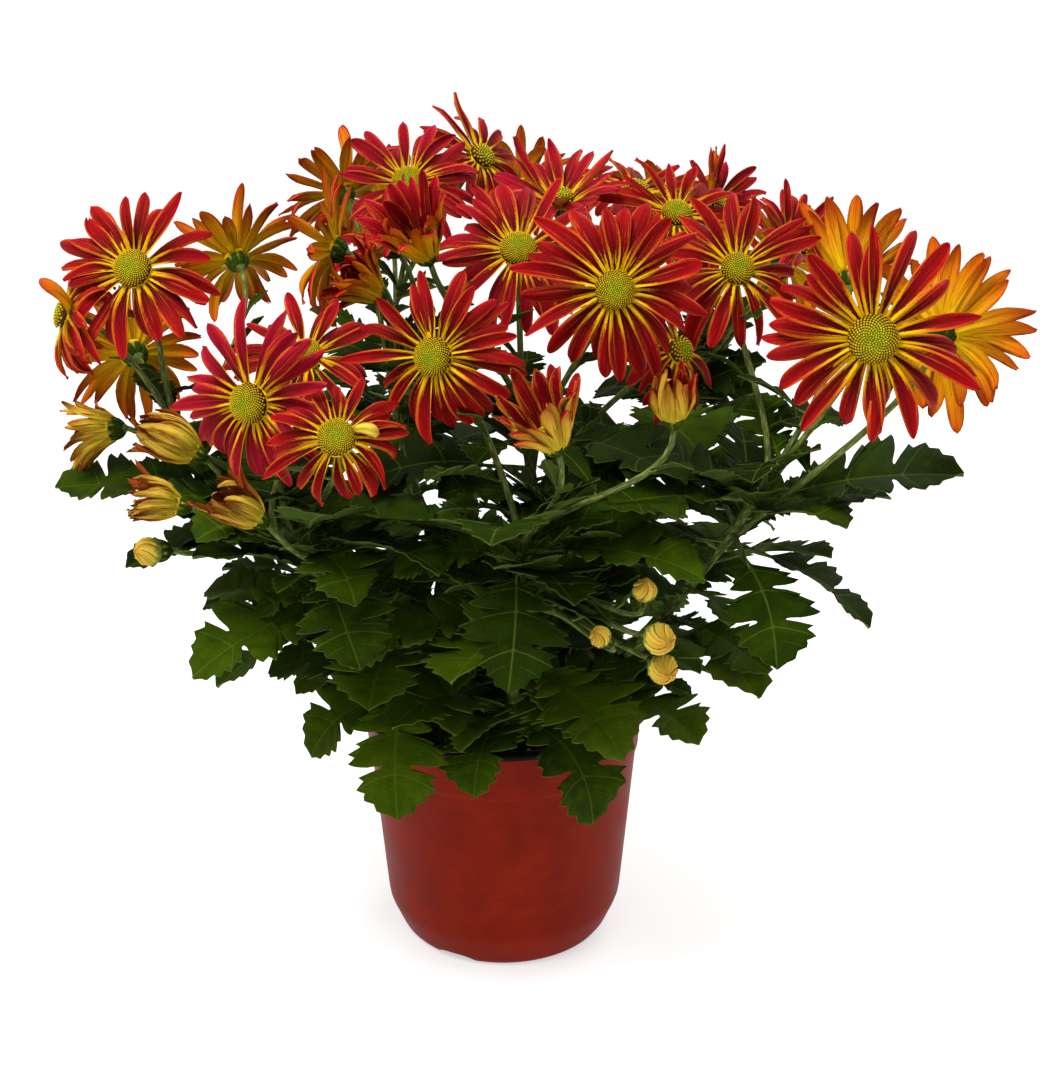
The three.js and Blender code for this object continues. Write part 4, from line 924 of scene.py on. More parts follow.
bud_skin = petal_finish(
    "young petal skin",
    stripe=[(0, "#A8741C"), (0.5, "#94501A"), (1, "#7A2A0A")],
    blush="#7A3408",
    margin=[(0, "#DCB82C"), (0.5, "#D49A20"), (1, "#B0700E")],
    edge_line="#8A4A14",
    back=[(0, "#C8B62A"), (0.5, "#E6C040"), (1, "#C0902E")],
    streak="#5C2A06",
    warmth=0.95,
)
scale_skin = petal_finish(
    "papery bud scale",
    stripe=[(0, "#66742A"), (0.5, "#84903C"), (1, "#A8A858")],
    blush="#8C9440",
    margin=[(0, "#4E3C16"), (0.5, "#6A4A20"), (1, "#7A5428")],
    edge_line="#6A4A20",
    back=[(0, "#66742A"), (0.5, "#84903C"), (1, "#A8A858")],
    streak="#5A5A20",
    warmth=0.4,
)
knot_skin = petal_finish(
    "folded petal skin",
    stripe=[(0, "#C8BC34"), (0.5, "#DCC444"), (1, "#CC8C34")],
    blush="#D8B040",
    margin=[(0, "#8A7A1C"), (0.5, "#905818"), (1, "#6E3010")],
    edge_line="#905818",
    back=[(0, "#A8A030"), (0.5, "#C8A838"), (1, "#B87A30")],
    streak="#7A4410",
    warmth=0.5,
)
petal_skins = (petal_skin, opening_skin, bud_skin, scale_skin, knot_skin)
print("petal skins:", ", ".join(skin.name for skin in petal_skins))

# %% [markdown]
# The disc is a dome of a few hundred tubular florets, packed in the spiral that the golden angle draws. The
# outer ones are open and golden, and those in the middle are still closed, smaller and green. Each floret
# is modelled, because the beaded look of the dome is what makes a daisy's eye.

# %% Floret finish
def floret_finish():
    """Young florets: waxy green to golden beads, partly their own colour, with painted shade darkening their
    roots between them and painted highlight lightening their tips.
    """
    material, tree, shader = new_material("disc floret")
    along, across, seed = (
        add(tree, "Attribute", attribute_name=mark, out="Fac") for mark in ("along", "across", "seed")
    )
    # The tips are painted lighter as a painted highlight and the roots darker as painted shade in the gaps
    # between florets; the change from green to golden across the disc is their own colour.
    tips = add(tree, "ValToRGB", [across], stops=[(0.1, "#A0AA10"), (0.5, "#BEB010"), (0.95, "#CCA00C")])
    shaded_roots = add(tree, "ValToRGB", [across], stops=[(0.1, "#767E06"), (0.5, "#6E6404"), (0.95, "#4A3202")])
    lit_share = add(tree, "MapRange", [along, 0.25, 0.9])
    mixed = add(tree, "Mix", {0: lit_share, 6: shaded_roots, 7: tips}, **COLOUR_MIX)
    varied = add(tree, "MapRange", [seed, 0, 1, 0.8, 1.15])
    colour = add(tree, "HueSaturation", {"Color": mixed, "Value": varied})
    feed(tree, shader, {"Base Color": colour, "Roughness": 0.65, "IOR": 1.42, "Specular IOR Level": 0.15})
    return material


floret_skin = floret_finish()
print("finish of the discs:", floret_skin.name)

# %% Disc
GOLDEN_ANGLE = math.radians(137.508)
DOME_POWER = 2.6
GROUND_RINGS = 7
GROUND_SIDES = 24
GROUND_SINK = 0.25
STEEPEST = 1.8
FLORETS_REACH = 0.975
# The rings of a floret: how wide and how high they are, as shares of its size, and how far along it they lie.
FLORET_RINGS = [(1.0, -0.7, 0.0), (0.92, 0.45, 0.5), (0.66, 1.0, 1.0)]
FLORET_MIDDLE = (0.72, 0.55)


def dome_height(share, top):
    """How high the dome is at a share of its radius."""
    return top * np.sqrt(np.clip(1 - share**DOME_POWER, 0, 1))


def grow_disc(mesh, flower, count, sides, base, top, finish):
    """A dome of florets on its own closed ground, in the frame of its head."""
    radius = flower["disc"]
    shares = np.linspace(1, 0, GROUND_RINGS)
    ground = [(0, base)]
    ground += [(radius * s, base + radius * dome_height(s, top) - GROUND_SINK * (s < 1)) for s in shares]
    points, faces = turned(ground, GROUND_SIDES)
    # The ground takes the floret finish of the roots, so it is painted dark as painted shade between the
    # florets.
    mesh.add(points, faces, finish, flower["seat"], across=np.hypot(points[:, 0], points[:, 1]) / radius)
    number = np.arange(count)
    share = FLORETS_REACH * np.sqrt((number + 0.5) / count)
    angle = number * GOLDEN_ANGLE
    random = np.random.default_rng(flower["seed"])
    out = np.stack([np.cos(angle), np.sin(angle), 0 * angle], axis=1)
    left = np.stack([-np.sin(angle), np.cos(angle), 0 * angle], axis=1)
    steep = np.sqrt(np.clip(1 - share**DOME_POWER, 0.02, 1))
    slope = np.minimum(top * 1.3 * share**1.6 / steep, STEEPEST)
    normal = (out * slope[:, None] + UP) / np.sqrt(1 + slope**2)[:, None]
    front = np.cross(left, normal)
    centre = radius * share[:, None] * out + UP * (base + radius * dome_height(share, top))[:, None]
    size = radius / math.sqrt(count) * random.uniform(0.82, 1.0, count) * (0.82 + 0.2 * share)
    tall = size * (0.5 + 0.8 * share**2) * random.uniform(0.85, 1.2, count)
    rows, marks = [], []
    for wide, high, mark in FLORET_RINGS:
        spread = (size * wide)[:, None]
        for turn in 2 * math.pi * np.arange(sides) / sides:
            ring = centre + spread * math.cos(turn) * left + spread * math.sin(turn) * front
            rows.append(ring + (tall * high)[:, None] * normal)
            marks.append(np.full(count, mark))
    rows.append(centre + (FLORET_MIDDLE[0] * tall)[:, None] * normal)
    marks.append(np.full(count, FLORET_MIDDLE[1]))
    points, marks = np.stack(rows, axis=1), np.stack(marks, axis=1)
    each = points.shape[1]
    body = grid_faces(len(FLORET_RINGS), sides, closed=True)[:, ::-1]
    ids = np.arange(sides) + (len(FLORET_RINGS) - 1) * sides
    cap = np.stack([ids, np.roll(ids, -1), np.full(sides, each - 1)], axis=-1)
    shift = (np.arange(count) * each)[:, None, None]
    mesh.add(
        points,
        [(body[None] + shift).reshape(-1, 4), (cap[None] + shift).reshape(-1, 3)],
        finish,
        flower["seat"],
        along=marks,
        across=np.repeat(share, each),
        seed=np.repeat(random.uniform(0, 1, count), each),
    )


# %% [markdown]
# A fine petal is a thin sheet in the space of its coarse solid. The upper layer is channelled and the lower
# one arched, as the solids' keels and ridges are. Each has two shallow grooves along it, a narrow claw at
# its root, and a tip that is rounded and slightly notched.

# %% Petal shape
# The outline of a petal: shares of its length, and the half width there as a share of the widest.
OUTLINE = [
    (-0.08, 0.4), (0, 0.43), (0.1, 0.54), (0.25, 0.74), (0.4, 0.89), (0.54, 0.97),
    (0.68, 1.0), (0.8, 0.95), (0.88, 0.83), (0.94, 0.64), (0.98, 0.4), (1.0, 0.14),
]
FINE_STATIONS = np.array([-0.08, 0.02, 0.12, 0.24, 0.36, 0.48, 0.6, 0.7, 0.79, 0.87, 0.93, 0.97, 0.992, 1.0])
STATIONS = np.array([-0.08, 0.05, 0.2, 0.38, 0.55, 0.7, 0.82, 0.91, 0.97, 1.0])
FINE_COLUMNS = 9
COLUMNS = 7
PETAL_THICK = 0.42
GROOVE = 0.28
CHANNEL = 1.5
UPPER_LIFT = 0.1
TAPER_FROM = 0.5
CURL_FROM = 0.6
NOTCH = 0.9
NOTCH_FROM = 0.93
NOTCH_REACH = 0.07


def sheet_faces(rows, columns):
    """Faces of a thin closed sheet: a top grid, a bottom grid turned over, and the rim between them."""
    top = grid_faces(rows, columns)
    size = rows * columns
    ids = np.arange(size).reshape(rows, columns)
    loop = np.concatenate([ids[:-1, 0], ids[-1, :-1], ids[:0:-1, -1], ids[0, :0:-1]])
    after = np.roll(loop, -1)
    rim = np.stack([after, loop, loop + size, after + size], axis=-1)
    return [top, top[:, ::-1] + size, rim]


def grow_petal(mesh, flower, petal, seed, finish):
    """One petal as a thin closed sheet along its arc, in the frame of its head."""
    random = np.random.default_rng(seed)
    petal = ruffled(flower, petal, random)
    shares = FINE_STATIONS if flower["fine"] else STATIONS
    rows, columns = len(shares), FINE_COLUMNS if flower["fine"] else COLUMNS
    middle, face, side = petal_frame(petal, shares)
    across = np.linspace(-1, 1, columns)
    half = petal["half"] * np.interp(shares, *zip(*OUTLINE))
    half = half * (1 - petal["taper"] * np.clip((shares - TAPER_FROM) / (1 - TAPER_FROM), 0, 1) ** 1.5)
    lean = petal["bow"] * np.clip(shares, 0, 1) ** 2
    swell, waves, phase = random.uniform(0.15, 0.6), random.uniform(0.8, 1.6), random.uniform()
    ripple = swell * np.sin(2 * math.pi * (waves * shares + phase))
    curl = petal["curl"] * (np.clip(shares - CURL_FROM, 0, 1) / (1 - CURL_FROM)) ** 2
    form = 1 - across**2
    body = np.clip(shares * 4 + 0.35, 0.35, 1) * np.clip((1.02 - shares) * 5, 0.15, 1)
    grooves = GROOVE * np.cos(3 * math.pi * across) * (1 - across**4)
    height = (-1 if petal["upper"] else 1) * CHANNEL * np.outer(body, form) + np.outer(body, grooves)
    edges = np.outer(ripple * np.clip(shares * 2, 0, 1), across**3)
    height += edges + curl[:, None] * (0.6 + 0.4 * across**2)
    if petal["upper"]:
        height += UPPER_LIFT
    notch = NOTCH * np.clip(shares - NOTCH_FROM, 0, 1)[:, None] / NOTCH_REACH
    notch = notch * np.cos(3 * math.pi * across) * form
    sideways = np.outer(half, across) + lean[:, None]
    top = middle[:, None] + sideways[..., None] * side[:, None] + height[..., None] * face[:, None]
    top = top - notch[..., None] * 0.5 * petal["level"]
    thick = PETAL_THICK * (1 - 0.55 * across**4)[None, :] * np.clip(1.3 - shares, 0.45, 1)[:, None]
    bottom = top - thick[..., None] * face[:, None]
    mesh.add(
        np.concatenate([top.reshape(-1, 3), bottom.reshape(-1, 3)]),
        sheet_faces(rows, columns),
        finish,
        flower["seat"],
        along=np.tile(np.repeat(np.clip(shares, 0, 1), columns), 2),
        across=np.tile(across, 2 * rows),
        under=np.repeat([0.0, 1.0], rows * columns),
        seed=random.uniform(),
        rim=flower["gold"],
    )


# %% [markdown]
# A head is put together from a short drum, the petals that stand round it and the florets on top. The heads
# of one plant differ in age, and so in how much yellow they show: the youngest are yellow and brown, then
# they are pale behind, and the full ones are crimson in front and golden behind. So a head's skin and its
# share of gold follow from its habit and its place.

# %% Flower heads
# The short drum that the petals stand round, as shares of the disc's radius and heights in millimetres.
DRUM = [(0, 0), (0.93, 0.1), (0.99, 0.8), (0.98, 2.1), (0.9, 2.5), (0, 2.6)]
DRUM_SIDES = 32
# One head holds a pale stunted petal that curls over the side of its disc.
CURLED_BLOOM = "bloom_09"
CURLED_PETAL = {
    "upper": False,
    "start": np.array([6.9, 2.4, 2.6]),
    "level": np.array([1.0, 0.1, 0.0]),
    "across": np.array([-0.1, 1.0, 0.0]),
    "rise": 95,
    "end": -120,
    "length": 15,
    "half": 2.9,
    "twist": 0.25,
}
# How golden a head is as a whole: most of all the foremost one, then two beside it that turn their backs.
MOST_GOLDEN = {"bloom_01": 1.0, "bloom_27": 0.56, "bloom_28": 0.56}
GOLD_STEP = 0.08
# The half-open heads that stand low are the youngest, and are still pale behind.
PALE_BELOW = 300
# Two more heads turn their discs to the front, so those have more florets than the rest behind.
FACING_BLOOMS = ("bloom_23", "bloom_25")
# Discs: how many florets, the sides of each, the height of the base, and the dome's height beside its radius.
FINE_DISC = (300, 5, RIM_HEIGHT + 0.35, 0.54)
FACING_DISC = (200, 5, RIM_HEIGHT, 0.62)
BACK_DISC = (76, 4, RIM_HEIGHT, 0.62)

for flower in flowers:
    node, young = flower["node"], flower["node"].startswith("bud")
    flower["gold"] = MOST_GOLDEN.get(node, GOLD_STEP * (3 * flower["seed"] % 7))
    mesh = Mesh()
    drum, faces = turned([(share * flower["disc"], height) for share, height in DRUM], DRUM_SIDES)
    mesh.add(drum, faces, 0, flower["seat"], under=1.0)
    for i, petal in enumerate(flower["found"]):
        grow_petal(mesh, flower, petal, 1000 * flower["seed"] + i, 0)
    opening = flower["habit"] in ("half", "brush") and flower["at"][2] < PALE_BELOW
    finishes = [bud_skin if young else opening_skin if opening else petal_skin, floret_skin]
    if node == CURLED_BLOOM:
        grow_petal(mesh, flower, CURLED_PETAL, 77, 2)
        finishes.append(knot_skin)
    if not flower["fine"]:
        grow_disc(mesh, flower, *(FACING_DISC if node in FACING_BLOOMS else BACK_DISC), 1)
    name = node.replace("bloom", "rays").replace("bud", "brush")
    mesh.piece(name, finishes, "bud_petals" if young else "petals", [node])
    if flower["fine"]:
        disc = Mesh()
        grow_disc(disc, flower, *FINE_DISC, 0)
        florets, solid = node.replace("bloom", "florets"), node.replace("bloom", "disc")
        disc.piece(florets, [floret_skin], "disc_florets", [solid])

# %% [markdown]
# Chrysanthemum leaves are leathery and very dark above, with a net of paler veins and a thin pale edge, and
# grey-green and downy below. The marks on each point say how far it is from the nearest vein and from the
# edge, in millimetres, so the veins are painted at their true widths. Stems are paler, ribbed and slightly
# hairy.

# %% Leaf and stem finish
LEAF_GREENS = [(0.15, "#101A00"), (0.4, "#1E3000"), (0.65, "#364C00"), (0.95, "#505E0C")]
STEM_GREENS = [(0.3, "#364018"), (0.5, "#54602A"), (0.7, "#88924E")]


def leaf_finish():
    """A waxy dark blade, matt and grey beneath, with its veins as pale lines."""
    material, tree, shader = new_material("leaf blade")
    vein, rim, under, seed = (
        add(tree, "Attribute", attribute_name=mark, out="Fac") for mark in ("vein", "rim", "under", "seed")
    )
    place = add(tree, "TexCoord", out="Object")
    clouds = add(tree, "TexNoise", {"Vector": place, "Scale": 1 / (9 * MM), "Detail": 4})
    # The net of the finest veins has meshes of about 1.5 mm.
    net = add(tree, "TexVoronoi", {"Vector": place, "Scale": 1 / (1.5 * MM)}, feature="DISTANCE_TO_EDGE")
    netted = add(tree, "MapRange", [net, 0, 0.12, 1, 0])
    # The seed mark carries each leaf's tone, with painted shade making the leaves just below the flowers
    # nearly black.
    tone = add(tree, "Math", [clouds, seed], operation="ADD")
    tone = add(tree, "Math", [tone, 0.5], operation="MULTIPLY")
    green = add(tree, "ValToRGB", [tone], stops=LEAF_GREENS)
    veined = add(tree, "MapRange", [vein, 0.0, 0.25, 0.5, 0])
    edged = add(tree, "MapRange", [rim, 0.04, 0.22, 0.4, 0])
    pale = add(tree, "Math", [veined, edged], operation="MAXIMUM")
    faint = add(tree, "Math", [netted, 0.08], operation="MULTIPLY")
    lines = add(tree, "Math", [pale, faint], operation="MAXIMUM")
    top = add(tree, "Mix", {0: lines, 6: green, 7: "#56681E"}, **COLOUR_MIX)
    below = add(tree, "Mix", {0: lines, 6: "#3A4A18", 7: "#68783A"}, **COLOUR_MIX)
    colour = add(tree, "Mix", {0: under, 6: top, 7: below}, **COLOUR_MIX)
    relief = add(tree, "Math", [clouds, netted], operation="SUBTRACT")
    bump = add(tree, "Bump", {"Height": relief, "Strength": 0.5, "Distance": 0.8 * MM})
    gloss = add(tree, "MapRange", [clouds, 0.3, 0.7, 0.6, 0.78])
    feed(tree, shader, {"Base Color": colour, "Roughness": gloss, "Normal": bump})
    feed(tree, shader, {"IOR": 1.42, "Specular IOR Level": 0.05})
    return material


def stem_finish():
    """Green bark: long pale streaks between darker grooves, with the dull bloom of fine down."""
    material, tree, shader = new_material("stem skin")
    along, across, seed = (
        add(tree, "Attribute", attribute_name=mark, out="Fac") for mark in ("along", "across", "seed")
    )
    # Along is in millimetres and across is a share of a turn, so a streak is some ten times as long as wide.
    round_it = add(tree, "Math", [across, 5.0], operation="MULTIPLY")
    drawn_out = add(tree, "Math", [along, 0.08], operation="MULTIPLY")
    streak_at = add(tree, "CombineXYZ", [round_it, drawn_out, seed])
    streaks = add(tree, "TexNoise", {"Vector": streak_at, "Scale": 3.0, "Detail": 4.0})
    colour = add(tree, "ValToRGB", [streaks], stops=STEM_GREENS)
    bump = add(tree, "Bump", {"Height": streaks, "Strength": 0.5, "Distance": 0.3 * MM})
    feed(tree, shader, {"Base Color": colour, "Normal": bump})
    feed(tree, shader, {"Roughness": 0.55, "IOR": 1.42, "Specular IOR Level": 0.08})
    return material


leaf_skin = leaf_finish()
stem_skin = stem_finish()
print("green finishes:", leaf_skin.name, "and", stem_skin.name)

# %% [markdown]
# A stem follows a smooth curve through its points. The same curve as the model's is needed, because each
# leaf and stalk leaves it at a share of its length: a Catmull-Rom curve whose pace follows the gaps between
# points.

# %% Curves and tubes
# The place of each finish in the list that a leafy stem gets.
STEM_FINISH, LEAF_FINISH = 0, 1
CURVE_STEPS = 200
BEZIER_STEPS = 60


class Line:
    """A curve as a row of points, read by its share of length."""

    def __init__(self, points):
        self.points = np.array(points, float)
        steps = np.linalg.norm(np.diff(self.points, axis=0), axis=1)
        self.lengths = np.concatenate([[0], np.cumsum(steps)])

    def at(self, share):
        wanted = np.asarray(share, float) * self.lengths[-1]
        return np.stack([np.interp(wanted, self.lengths, self.points[:, k]) for k in range(3)], axis=-1)

    def towards(self, share):
        ahead = self.at(min(share + 0.004, 1)) - self.at(max(share - 0.004, 0))
        return ahead / np.linalg.norm(ahead)


def with_ends(points):
    """A row of points with one more at each end, mirrored from the next."""
    points = np.array(points, float)
    return np.vstack([2 * points[0] - points[1], points, 2 * points[-1] - points[-2]])


def stem_curve(points):
    """A stem's middle line."""
    guide = with_ends(points)
    line = []
    for time in np.arange(CURVE_STEPS + 1) / CURVE_STEPS * (len(points) - 1):
        i = min(int(time), len(points) - 2)
        p0, p1, p2, p3 = guide[i : i + 4]
        d0, d1, d2 = (np.linalg.norm(b - a) ** 0.5 for a, b in ((p0, p1), (p1, p2), (p2, p3)))
        t1 = ((p1 - p0) / d0 - (p2 - p0) / (d0 + d1) + (p2 - p1) / d1) * d1
        t2 = ((p2 - p1) / d1 - (p3 - p1) / (d1 + d2) + (p3 - p2) / d2) * d1
        w = time - i
        line.append(p1 + t1 * w + (3 * (p2 - p1) - 2 * t1 - t2) * w**2 + (2 * (p1 - p2) + t1 + t2) * w**3)
    return Line(line)


def bezier(p0, p1, p2, p3):
    """A smooth curve from the first point to the last, drawn towards the two between."""
    t = np.linspace(0, 1, BEZIER_STEPS)[:, None]
    return Line((1 - t) ** 3 * p0 + 3 * (1 - t) ** 2 * t * p1 + 3 * (1 - t) * t**2 * p2 + t**3 * p3)


def grow_tube(mesh, points, radii, sides, ribs=0, rib_depth=0.0, seed=0.0):
    """A closed tube along points, carried along without twist, with ribs if wanted."""
    points = np.asarray(points, float)
    ahead = np.gradient(points, axis=0)
    ahead /= np.linalg.norm(ahead, axis=1)[:, None]
    normal = np.cross(ahead[0], (0.3, 0.9, 0.1))
    turns = 2 * math.pi * np.arange(sides) / sides
    swell = 1 + rib_depth * np.cos(ribs * turns)
    rows = []
    for centre, tangent, radius in zip(points, ahead, radii):
        normal = normal - tangent * (normal @ tangent)
        normal /= np.linalg.norm(normal)
        other = np.cross(tangent, normal)
        wide, high = radius * swell * np.cos(turns), radius * swell * np.sin(turns)
        ring = np.outer(wide, normal) + np.outer(high, other)
        rows.append(centre + ring)
    walked = np.concatenate([[0], np.cumsum(np.linalg.norm(np.diff(points, axis=0), axis=1))])
    mesh.add(
        np.vstack([*rows, points[:1], points[-1:]]),
        round_faces(len(rows), sides),
        STEM_FINISH,
        along=np.concatenate([np.repeat(walked, sides), [0, walked[-1]]]),
        across=np.concatenate([np.tile(np.arange(sides) / sides, len(rows)), [0, 0]]),
        seed=seed,
    )


curves = [stem_curve(points) for points in STEMS]
print("stem lengths in mm:", [round(curve.lengths[-1]) for curve in curves])

# %% [markdown]
# Each head sits on a green cup of scales, the involucre, at the end of a bare stalk. The stalk leaves its
# stem along it, sags a little and arrives straight behind the head. Which way it bows aside is read from
# the frame: the true bow is the one that has the solid's corners standing round its middle line.

# %% Stalks
STALK_RADIUS = 1.35
STALK_TAPER = 0.85
STALK_LEAVE = 0.34
STALK_ARRIVE = 0.26
STALK_SAG = 0.1
STALK_BOWS = [0, 7, -7, 14, -14, 21, -21, 30, -30]
STALK_MATCH = 0.12
SEAT_GAP = 0.35
CUP_HEIGHT = 6


def find_stalk(curve, share, seat, corners):
    """How many corners of the solid a stalk has round it, and its middle line, with the bow that has most."""
    start = curve.at(share)
    end = move(np.array([0, 0, -SEAT_GAP - CUP_HEIGHT]), seat)
    reach = np.linalg.norm(end - start)
    leave = start + curve.towards(share) * STALK_LEAVE * reach
    arrive = end - seat[:3, 2] * STALK_ARRIVE * reach - UP * STALK_SAG * reach
    best = (-1, None)
    for bow in STALK_BOWS:
        line = bezier(start, leave + seat[:3, 0] * bow, arrive + seat[:3, 0] * bow, end)
        around = 0
        for third in (1 / 3, 2 / 3):
            radius = STALK_RADIUS * (1 - (1 - STALK_TAPER) * third)
            far = np.linalg.norm(corners - line.at(third), axis=1)
            around += int((np.abs(far - radius) < STALK_MATCH).sum())
        if around > best[0]:
            best = (around, line)
    return best


# %% [markdown]
# The cup is a small turned bowl, and its green scales overlap round it in two rings, like tiles. Each scale
# is a pointed strip laid along the bowl, so one function serves them and also the folded petals and the
# papery scales of the round buds.

# %% Cups and their scales
CUP_SIDES = 18
# The rings of scales on a cup: where they start and end, and how many they are.
CUP_RINGS = [((-5.2, -1.6), 7), ((-3.6, 0.6), 9)]
CUP_SCALE_GRID = (5, 3)
CUP_SCALE_WIDTH = 2.4
SCALE_THICK = 0.35
SCALE_OUTLINE = ([0, 0.35, 0.7, 0.9, 1], [0.8, 1, 0.8, 0.45, 0.08])
SCALE_GOLD = 0.65


def grow_scale(
    mesh, seat, form, span, turn, half_width, lift, finish, seed, spin=0.0, grid=CUP_SCALE_GRID, bulge=0.18
):
    """A small pointed strip that hugs a turned form, which is given as its heights and its radii there."""
    rows, columns = grid
    shares = np.linspace(0, 1, rows)
    heights = span[0] + (span[1] - span[0]) * shares
    radii = np.interp(heights, *form) + lift * (0.35 + 0.65 * shares)
    widths = half_width * np.interp(shares, *SCALE_OUTLINE)
    across = np.linspace(-1, 1, columns)
    aside = widths[:, None] * across[None, :] / np.maximum(radii, 0.6)[:, None]
    angles = turn + spin * shares[:, None] + aside
    outer = radii[:, None] + bulge * (1 - across**2)[None, :]
    tall = np.broadcast_to(heights[:, None], outer.shape)
    layers = []
    for radius in (outer, outer - SCALE_THICK):
        layer = np.stack([radius * np.cos(angles), radius * np.sin(angles), tall], axis=-1)
        layers.append(layer.reshape(-1, 3))
    width = np.tile(across, 2 * rows)
    mesh.add(
        np.concatenate(layers),
        [face[:, ::-1] for face in sheet_faces(rows, columns)],
        finish,
        seat,
        # The strip is painted like the outer part of a petal, and its pale edge like that of a leaf.
        along=np.tile(np.repeat(0.3 + 0.5 * shares, columns), 2),
        across=width,
        seed=seed,
        rim=half_width * 0.5 * (1 - np.abs(width)) if finish == LEAF_FINISH else SCALE_GOLD,
        vein=1.0,
    )


def grow_cup(mesh, seat, radius, seed):
    """The green cup under a head, with two rings of scales."""
    deep = SEAT_GAP + CUP_HEIGHT
    heights = [-deep - 0.5, -deep, -deep * 0.8, -SEAT_GAP - CUP_HEIGHT * 0.55, -deep * 0.35, -SEAT_GAP]
    radii = [1.1, 1.2, 0.5 * radius, 0.8 * radius, 0.95 * radius, radius]
    points, faces = turned([(0, heights[0]), *zip(radii, heights), (0, -SEAT_GAP)], CUP_SIDES)
    round_it = np.arctan2(points[:, 1], points[:, 0]) / TURN
    mesh.add(points, faces, STEM_FINISH, seat, along=points[:, 2], across=round_it)
    for ring, (span, count) in enumerate(CUP_RINGS):
        for k in range(count):
            turn = 2 * math.pi * (k + 0.5 * ring) / count
            half_width, lift = CUP_SCALE_WIDTH * radius / count, 0.3 + 0.15 * ring
            grow_scale(mesh, seat, (heights, radii), span, turn, half_width, lift, LEAF_FINISH, seed)


# %% [markdown]
# A leaf of the model is a lobed blade of a few facets along an arc. The fine one follows the same arc with
# a full outline: three pairs of lobes and an end lobe, with rounded teeth, deep cuts between and a wavy
# edge. The rows of its grid run from the midrib out to the edge, so that the rows to the lobes' tips are
# its veins.

# %% The outlines of leaves
# Half of the outline as (share of the length, half width as a share of it), with the tips of lobes and teeth.
BLADE = [
    (0.0, 0.02), (0.07, 0.028), (0.12, 0.05), (0.165, 0.13), (0.19, 0.2), (0.215, 0.172), (0.26, 0.265),
    (0.28, 0.225), (0.33, 0.32), (0.352, 0.27), (0.356, 0.19), (0.346, 0.12), (0.352, 0.085), (0.385, 0.13),
    (0.42, 0.225), (0.445, 0.325), (0.468, 0.28), (0.525, 0.405), (0.548, 0.345), (0.6, 0.4), (0.62, 0.33),
    (0.622, 0.24), (0.61, 0.155), (0.618, 0.115), (0.65, 0.15), (0.68, 0.24), (0.7, 0.3), (0.725, 0.245),
    (0.79, 0.29), (0.812, 0.215), (0.865, 0.215), (0.885, 0.145), (0.94, 0.13), (0.96, 0.07), (1.0, 0.004),
]
SMALL_BLADE = [
    (0.0, 0.03), (0.15, 0.05), (0.35, 0.12), (0.45, 0.17), (0.5, 0.13), (0.62, 0.19), (0.7, 0.2),
    (0.75, 0.14), (0.88, 0.1), (1.0, 0.004),
]
# The points of the outline at which a vein ends, and how far out from the midrib that vein starts.
VEIN_ENDS = [(4, 0.35), (8, 0.0), (15, 0.6), (17, 0.0), (19, 0.6), (26, 0.6), (28, 0.0), (30, 0.35)]
VEIN_BOW = 0.05
# How far from the midrib to the edge each column of the grid lies.
COLUMN_SHARES = np.array([0, 0.07, 0.35, 0.7, 1.0])
SMALL_COLUMN_SHARES = np.array([0, 0.1, 0.6, 1.0])
LEAF_FOLD = 0.2
LEAF_WAVE = 0.025
LEAF_RIPPLES = 11
LEAF_PUCKER = 0.011
LEAF_THICK = 0.4
LEAF_TRIES = [
    (share, bend, turn)
    for share in (1, 0.84, 0.7)
    for bend in (0, 14, -14, 28, -28, 44)
    for turn in (0, 18, -18, 36, -36)
]


def smooth_outline(points, steps):
    """More points on a smooth curve through the given ones."""
    guide = with_ends(points)
    out = []
    for i in range(len(points) - 1):
        p0, p1, p2, p3 = guide[i : i + 4]
        for w in np.arange(steps) / steps:
            even = (2 * p0 - 5 * p1 + 4 * p2 - p3) * w**2
            out.append(0.5 * (2 * p1 + (p2 - p0) * w + even + (3 * p1 - p0 - 3 * p2 + p3) * w**3))
    return np.array(out + [guide[-2]])


def distance_to(points, start, end):
    """How far flat points lie from the stretch between two others."""
    way = end - start
    t = np.clip((points - start) @ way / (way @ way), 0, 1)
    return np.linalg.norm(points - start - t[..., None] * way, axis=-1)


